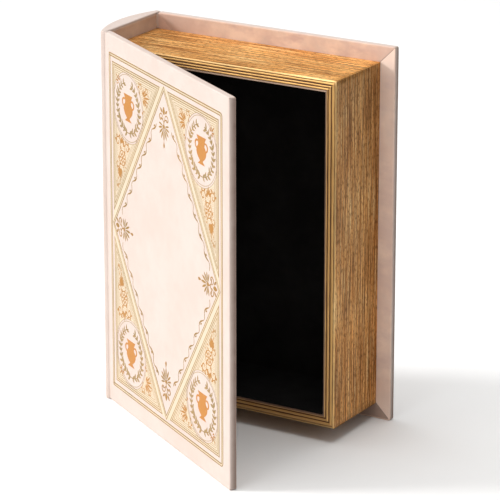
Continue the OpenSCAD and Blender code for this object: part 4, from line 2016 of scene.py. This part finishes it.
    def round_wreath(self, corners: Sequence[Point2]) -> list[list[Point2]]:
        """Cuts the upper right wreath's circle out of an outline that it crosses.

        Args:
            corners: Corners of the closed outline, anticlockwise.

        Returns:
            The outlines of the parts that are left.
        """
        centre, radius = Vector(self.wreath_at), self.arc_rings[1]
        line = []
        for start, end in zip(corners, corners[1:] + corners[:1]):
            line += [tuple(start), *side_points(start, end, 0.2 * MM)]
        first = next(number for number, point in enumerate(line) if not self.outside_wreath(point))
        parts = []
        for run in runs(line[first:] + line[:first], self.outside_wreath):
            last, start = (math.degrees(math.atan2(*(Vector(p) - centre).yx)) for p in (run[-1], run[0]))
            parts.append(run + arc(tuple(centre), radius, last, last - (last - start) % 360, 60)[1:-1])
        return parts

    def outside_wreath(self, point: Point2) -> bool:
        """Tells whether a point lies outside the circle round the upper right wreath."""
        return (Vector(point) - Vector(self.wreath_at)).length > self.arc_rings[1]

    def inside_panel(self, point: Point2) -> bool:
        """Tells whether a point lies inside the first hairline of the upper right panel."""
        sides = zip(self.inner_panel, self.inner_panel[1:] + self.inner_panel[:1])
        return all((b - a).cross(Vector(point) - a) >= 0 for a, b in sides)

    def wreaths(self) -> None:
        """Repeats a laurel leaf along two branches, and the wreath in the four corners."""
        tree = Tree("laurel_wreath")
        motif, count = tree.motif(), self.laurel_count
        first_angle, whole_angle, lean_angle = (math.radians(angle) for angle in self.laurel_angles)
        radius, first = tree.value("Ring Radius", self.leaf_ring), tree.value("First Angle", first_angle)
        step, lean = tree.value("Angle Step", whole_angle / count), tree.value("Lean", lean_angle)
        line = tree.geometry("MeshLine", {
            "Count": tree.value("Leaves", count, "Int"), "Offset": (0.0, 0.0, 0.0)})
        index, branches = tree.index(), []
        for turn, lean_side in ((-1.0, -1.0), (-1.0, 1.0), (1.0, -1.0), (1.0, 1.0)):
            angle = (first + step * index) * turn - math.pi / 2
            spot = tree.combine(tree.math("COSINE", angle) * radius, tree.math("SINE", angle) * radius, 0.0)
            seed = int(3 + turn + 2 * lean_side)
            size, sway = (tree.number("FunctionNodeRandomValue", {
                2: low, 3: high, "ID": index, "Seed": draw}, 1, data_type="FLOAT")
                for low, high, draw in ((0.72, 1.15, seed), (-0.28, 0.28, seed + 40)))
            heading = angle + turn * math.pi / 2 + lean * lean_side + sway
            branches.append(tree.geometry("InstanceOnPoints", {
                "Points": tree.geometry("SetPosition", {"Geometry": line, "Position": spot}),
                "Instance": motif, "Rotation": tree.combine(0.0, 0.0, heading), "Scale": size}))
        corners = tree.geometry("MeshGrid", {
            "Size X": tree.value("Corners Apart X", 2 * self.wreath_at[0]),
            "Size Y": tree.value("Corners Apart Y", 2 * self.wreath_at[1]), "Vertices X": 2, "Vertices Y": 2})
        everywhere = tree.geometry("InstanceOnPoints", {"Points": corners, "Instance": tree.joined(branches)})
        one = Stamp()
        one.shape(leaf(*self.laurel_leaf))
        self.fix(self.repeated(tree, "laurel_wreaths", everywhere, one), "gilt_wreaths", thin=0.15)

    def urns(self) -> None:
        """Draws an urn in each wreath, upright, and the stems of the wreath round it."""
        urns, stems = Stamp(), Stamp()
        for side_x, side_y in ((-1, -1), (-1, 1), (1, -1), (1, 1)):
            centre = (self.wreath_at[0] * side_x, self.wreath_at[1] * side_y)
            Urn().draw(urns, centre)
            for turn in (-1, 1):
                stems.stroke(arc(centre, self.leaf_ring, -90 - 8 * turn, -90 + 166 * turn, 40), self.stem_w)
        self.add("urns", urns, warm=0.9)
        self.add("wreath_stems", stems)

    def palmettes(self) -> None:
        """Fans leaves into a palmette and puts one at each point of the lozenge."""
        tree = Tree("palmettes")
        motif, count = tree.motif(), self.palmette_count
        line = tree.geometry("MeshLine", {
            "Count": tree.value("Leaves", count, "Int"), "Offset": (0.0, 0.0, 0.001 * MM)})
        place = tree.index() / ((count - 1) / 2) - 1.0
        heading = place * tree.value("Half Spread", math.radians(102.0)) - math.pi / 2
        size = tree.value("Leaf Size", 1.0) - abs(place) * 0.22
        fan = tree.geometry("InstanceOnPoints", {
            "Points": line, "Instance": motif, "Rotation": tree.combine(0.0, 0.0, heading),
            "Scale": tree.combine(size, size, 1.0)})
        fans = tree.joined([tree.geometry("Transform", {
            "Geometry": fan, "Translation": (*spot, 0.0), "Rotation": (0.0, 0.0, math.radians(turn))})
            for spot, turn in self.palmette_places()])
        one = Stamp()
        one.shape([(x + self.palmette_hub, y) for x, y in leaf(*self.palmette_leaf, 0.6)])
        self.fix(self.repeated(tree, "palmette_leaves", fans, one), "gilt_palmettes")
        stems = Stamp()
        for spot, turn in self.palmette_places():
            self.palmette_stem(stems, spot, turn)
        self.add("palmette_stems", stems, warm=0.2)

    def palmette_places(self) -> list[tuple[Point2, float]]:
        """Returns the foot of each palmette's fan and its turn in degrees, the first at the head."""
        side, end = self.half_w - self.palmette_insets[0], self.half_h - self.palmette_insets[1]
        return [((0.0, end), 0.0), ((0.0, -end), 180.0), ((-side, 0.0), 90.0), ((side, 0.0), -90.0)]

    def palmette_stem(self, stamp: Stamp, spot: Point2, turn: float) -> None:
        """Draws the volutes, bud and drop of a palmette.

        Args:
            stamp: The stamp to draw in.
            spot: The foot of the palmette's fan.
            turn: The palmette's turn in degrees.
        """
        shapes = [turned(leaf(6.0 * MM, 3.4 * MM), 90, (0.0, 8.0 * MM)),
                  turned(leaf(5.4 * MM, 2.2 * MM, 0.7), -90, (0.0, -9.6 * MM)),
                  arc((0.0, 0.0), 1.5 * MM, 0, 345, 10)]
        strokes = []
        for side in (-1, 1):
            strokes.append(spiral((side * 4.6 * MM, 5.6 * MM), 3.4 * MM, 90 + side * 110, -side * 400))
            strokes.append(arc((side * 4.2 * MM, 0.8 * MM), 4.6 * MM, 90 + side * 80, 90 - side * 15, 8))
            shapes.append(turned(leaf(4.4 * MM, 1.8 * MM), 90 - side * 48, (side * 2.2 * MM, 9.4 * MM)))
        for shape in shapes:
            stamp.shape(turned(shape, turn, spot))
        for line in strokes:
            stamp.stroke(turned(line, turn, spot), self.palmette_line, 0.5)

    def scallops(self) -> None:
        """Repeats a hooked leaf along the inner side of the lozenge."""
        tree = Tree("scallops")
        motif = tree.motif()
        along = Vector((-self.side.x, self.side.y)).normalized()
        middle = self.side / 2 + Vector((-along.y, along.x)) * self.scallop_reach
        start = middle - along * self.scallop_pitch * (self.scallop_count - 1) / 2
        line = tree.geometry("MeshLine", {
            "Count": tree.value("Scallops", self.scallop_count, "Int"),
            "Start Location": tree.value("Start", (*start, 0.0), "Vector"),
            "Offset": tree.value("Pitch", (*(along * self.scallop_pitch), 0.0), "Vector")})
        row = tree.geometry("InstanceOnPoints", {
            "Points": line, "Instance": motif, "Rotation": (0.0, 0.0, math.atan2(along.y, along.x))})
        one = Stamp()
        blade = [(0.6, -0.5), (-1.4, 0.1), (-3.6, -0.4), (-5.8, -1.5), (-7.8, -2.9)]
        back = [(-7.4, -2.4), (-9.2, -3.2), (-11.0, -2.6), (-12.6, -1.2), (-13.4, -0.2)]
        for hook, width, tip in ((blade, 1.25 * MM, 0.3), (back, 0.45 * MM, 0.6)):
            one.stroke([(x * MM, y * MM) for x, y in hook], width, tip)
        one.shape(turned(leaf(2.6 * MM, 1.2 * MM), 200, (-1.6 * MM, -1.4 * MM)))
        piece = self.repeated(tree, "scallops", tree.mirrored(row), one)
        faced_outwards(piece.data)
        self.fix(piece)

    def corner_fillings(self) -> None:
        """Draws the hairlines, scrolls, rosettes and sprays between the wreaths and the panel rules."""
        hairlines = Stamp()
        for inset in self.hair_insets[1:]:
            corners = inset_outline(self.panel(), inset)
            for start, end in zip(corners, corners[1:] + corners[:1]):
                for run in runs([start, *side_points(start, end, 1 * MM), end], self.outside_wreath):
                    hairlines.stroke([run[0], run[-1]], self.hairline)
        for radius in self.arc_rings:
            for run in runs(arc(self.wreath_at, radius, 0, 360, 180), self.inside_panel):
                hairlines.stroke(run, self.hairline)
        self.add("corner_panel_hairlines", hairlines.mirrored(), thin=0.3)
        sprays = Stamp(kept=self.inside_panel)
        self.corner_sprays(sprays)
        self.add("corner_panel_sprays", sprays.mirrored(), warm=0.6)

    def corner_sprays(self, stamp: Stamp) -> None:
        """Draws the leafy fillings of the upper right panel.

        Args:
            stamp: The stamp to draw in.
        """
        def spot(x: float, y: float) -> Point2:
            """Returns a place given in millimetres from the frame's upper right corner."""
            return (self.half_w - x * MM, self.half_h - y * MM)

        stamp.spray(spot(16.6, 17.4), 45, 7 * MM, 160, 5, 0.17)
        stamp.spray(spot(54.0, 19.8), 172, 12.6 * MM, 124, 7, 0.12)
        stamp.spray(spot(54.6, 28.4), 236, 6.6 * MM, 80, 3, 0.2)
        stamp.scroll(spot(51.5, 13.4), 2.9 * MM, -60, 400)
        stamp.scroll(spot(62.0, 13.6), 2.4 * MM, -110, 380, 3)
        stamp.scroll(spot(61.6, 23.6), 2.0 * MM, 60, -400, 3)
        stamp.spray(spot(72.5, 13.2), 184, 6 * MM, 44, 3, 0.15)
        self.draw_rosette(stamp)
        stamp.scroll(spot(13.6, 60.6), 4.2 * MM, 210, -420, 5)
        stamp.scroll(spot(28.6, 62.6), 4.0 * MM, -30, 420, 5)
        stamp.scroll(spot(13.0, 76.5), 3.4 * MM, 120, 400)
        stamp.scroll(spot(25.4, 77.6), 2.7 * MM, 60, -400)
        stamp.spray(spot(20.4, 61.6), 90, 7.5 * MM, 130, 7, 0.17)
        stamp.spray(spot(16.8, 77.6), -88, 11.5 * MM, 76, 7, 0.15)
        stamp.scroll(spot(11.6, 90.5), 2.6 * MM, 130, 400, 3)
        stamp.scroll(spot(18.0, 89.8), 2.0 * MM, 50, -400, 3)
        stamp.spray(spot(12.6, 90.6), -88, 7.5 * MM, 40, 3, 0.17)

    def draw_rosette(self, stamp: Stamp) -> None:
        """Draws the rosette of the upper right panel: a ring, petals and a boss.

        Args:
            stamp: The stamp to draw in.
        """
        petals = 8
        stamp.stroke(arc(self.rosette_at, 5.2 * MM, 0, 354, 30)[:-1], 0.8 * MM, closed=True)
        stamp.shape(arc(self.rosette_at, 1.3 * MM, 0, 330, 11))
        for angle in (petal * 360 / petals for petal in range(petals)):
            start = turned([(1.7 * MM, 0.0)], angle, self.rosette_at)[0]
            stamp.shape(turned(leaf(2.9 * MM, 1.6 * MM), angle, start))

    def stippled_ground(self) -> None:
        """Fills the corner panels outside the wreaths and rosettes with rows of fine dots."""
        tree = Tree("stippled_ground")
        motif, pitch = tree.motif(), tree.value("Dot Pitch", self.dot_pitch)
        inset = self.hair_insets[-1] + self.dot_pitch
        edge_x, edge_y = (half - self.panel_inset - inset for half in (self.half_w, self.half_h))
        columns, rows = int(edge_x / self.dot_pitch), int(edge_y / self.dot_pitch)
        row = tree.math("FLOOR", tree.index() / columns)
        column = tree.index() - row * columns + tree.math("MODULO", row, 2.0) * 0.5
        x = tree.value("Panel Edge X", edge_x) - column * pitch
        y = tree.value("Panel Edge Y", edge_y) - row * pitch
        line = tree.geometry("MeshLine", {"Count": columns * rows, "Offset": (0.0, 0.0, 0.0)})
        points = tree.geometry("SetPosition", {"Geometry": line, "Position": tree.combine(x, y, -0.01 * MM)})
        reach = tree.value("Lozenge Reach", self.clear_of_lozenge(self.panel_gap + inset))
        kept = tree.math("GREATER_THAN", x / self.side.x + y / self.side.y, reach)
        for centre, radius in ((self.wreath_at, self.arc_rings[1] + self.dot_pitch),
                               (self.rosette_at, self.rosette_clear)):
            off_x, off_y = x - centre[0], y - centre[1]
            far = tree.math("SQRT", off_x * off_x + off_y * off_y)
            kept = kept * tree.math("GREATER_THAN", far, radius)
        dots = tree.geometry("InstanceOnPoints", {"Points": points, "Selection": kept, "Instance": motif})
        one = Stamp(self.dot_t)
        one.shape(arc((0.0, 0.0), self.dot_size / 2, 0, 288, 4))
        piece = self.repeated(tree, "stippled_grounds", tree.mirrored(dots), one)
        faced_outwards(piece.data)
        self.fix(piece, thin=0.0, warm=0.7)


@dataclass
class Studio:
    """Pale floor, soft lights and the camera."""

    camera_place: Triple = (1.08817, -1.82267, 0.80559)
    camera_yaw: float = 31.322
    camera_pitch: float = -18.161
    lens: float = 227.739
    floor_size: float = 12.0
    key_from: Triple = (-0.80, -0.45, 0.40)
    key_strength: float = 2.42
    key_spread: float = 14.0
    fill_place: Triple = (-0.3, -2.4, 0.5)
    fill_size: float = 1.3
    fill_power: float = 22.0
    top_place: Triple = (-0.2, -0.1, 2.6)
    top_size: float = 2.4
    top_power: float = 55.0
    aim: Triple = (0.0, -0.05, 0.12)
    sky: Colour = (1.0, 0.99, 0.98)
    sky_strength: float = 0.27

    def build(self) -> None:
        """Sets the camera at the photograph's viewing angle, the floor, a broad key light and a weak fill."""
        self.set_camera()
        half = self.floor_size / 2
        corners = [(-half, -half, 0), (half, -half, 0), (half, half, 0), (-half, half, 0)]
        mesh = bpy.data.meshes.new("studio_floor")
        mesh.from_pydata(corners, [], [(0, 1, 2, 3)])
        piece_of("studio_floor", mesh, Finish.FLOOR, smooth=False)
        self.lamp("key_light", "SUN", Vector(self.key_from), Vector(), self.key_strength,
                  angle=math.radians(self.key_spread))
        for name, place, power, size in (("fill_light", self.fill_place, self.fill_power, self.fill_size),
                                         ("top_light", self.top_place, self.top_power, self.top_size)):
            self.lamp(name, "AREA", Vector(place), Vector(self.aim), power, size=size)
        self.set_sky()

    @staticmethod
    def lamp(name: str, kind: str, place: Vector, aim: Vector, energy: float, **settings: float) -> None:
        """Hangs a light.

        Args:
            name: Name of the light.
            kind: Blender's name of its type.
            place: Where it hangs.
            aim: Where it points.
            energy: Its strength.
            settings: Its other properties.
        """
        data = bpy.data.lights.new(name, kind)
        data.energy = energy
        for key, value in settings.items():
            setattr(data, key, value)
        light = bpy.data.objects.new(name, data)
        light.location = place
        light.rotation_euler = (aim - place).to_track_quat("-Z", "Y").to_euler()
        bpy.context.scene.collection.objects.link(light)

    def set_camera(self) -> None:
        """Sets the camera at the photograph's viewing angle."""
        data = bpy.data.cameras.new("camera")
        data.lens = self.lens
        data.sensor_width = 36.0
        data.sensor_fit = "HORIZONTAL"
        data.clip_start, data.clip_end = 0.05, 50.0
        camera = bpy.data.objects.new("camera", data)
        camera.location = self.camera_place
        camera.rotation_euler = (math.radians(90 + self.camera_pitch), 0.0, math.radians(self.camera_yaw))
        bpy.context.scene.collection.objects.link(camera)
        bpy.context.scene.camera = camera

    def set_sky(self) -> None:
        """Sets a pale sky and plain colours."""
        world = bpy.data.worlds.new("studio_sky")
        world.use_nodes = True
        background = world.node_tree.nodes["Background"]
        background.inputs["Color"].default_value = (*self.sky, 1.0)
        background.inputs["Strength"].default_value = self.sky_strength
        bpy.context.scene.world = world
        bpy.context.scene.view_settings.view_transform = "Standard"


def dress_inner_boards() -> None:
    """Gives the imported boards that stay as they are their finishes."""
    boards = dict.fromkeys(("back_board", "spine_board", "front_board"), Finish.FIBREBOARD)
    cards = dict.fromkeys(("back_infill", "floor_card"), Finish.CARD)
    for node, finish in {**boards, **cards}.items():
        frame["nodes"][node].material_slots[0].material = finish.material()
        LOG.info("dressed %s", node)


def main() -> None:
    """Builds and dresses every piece in order."""
    logging.basicConfig(level=logging.INFO, format="%(message)s")
    sizes = BookSizes.from_frame()
    Studio().build()
    dress_inner_boards()
    back = CoverSheet("back_covering", "case", "back_wrap", sizes, sizes.back_out_y, -1.0, 5)
    front = CoverSheet("front_covering", "front_cover", "front_wrap", sizes, sizes.front_out_y, 1.0, 8)
    pieces = [back.build(), front.build(), *Spine(sizes).build(), *Tray().build(),
              *HingeCloth(sizes).build(), FrontLining().build(), *Stamping().build()]
    for piece in pieces:
        LOG.info("built %s", piece.name)


if __name__ == "__main__":
    main()
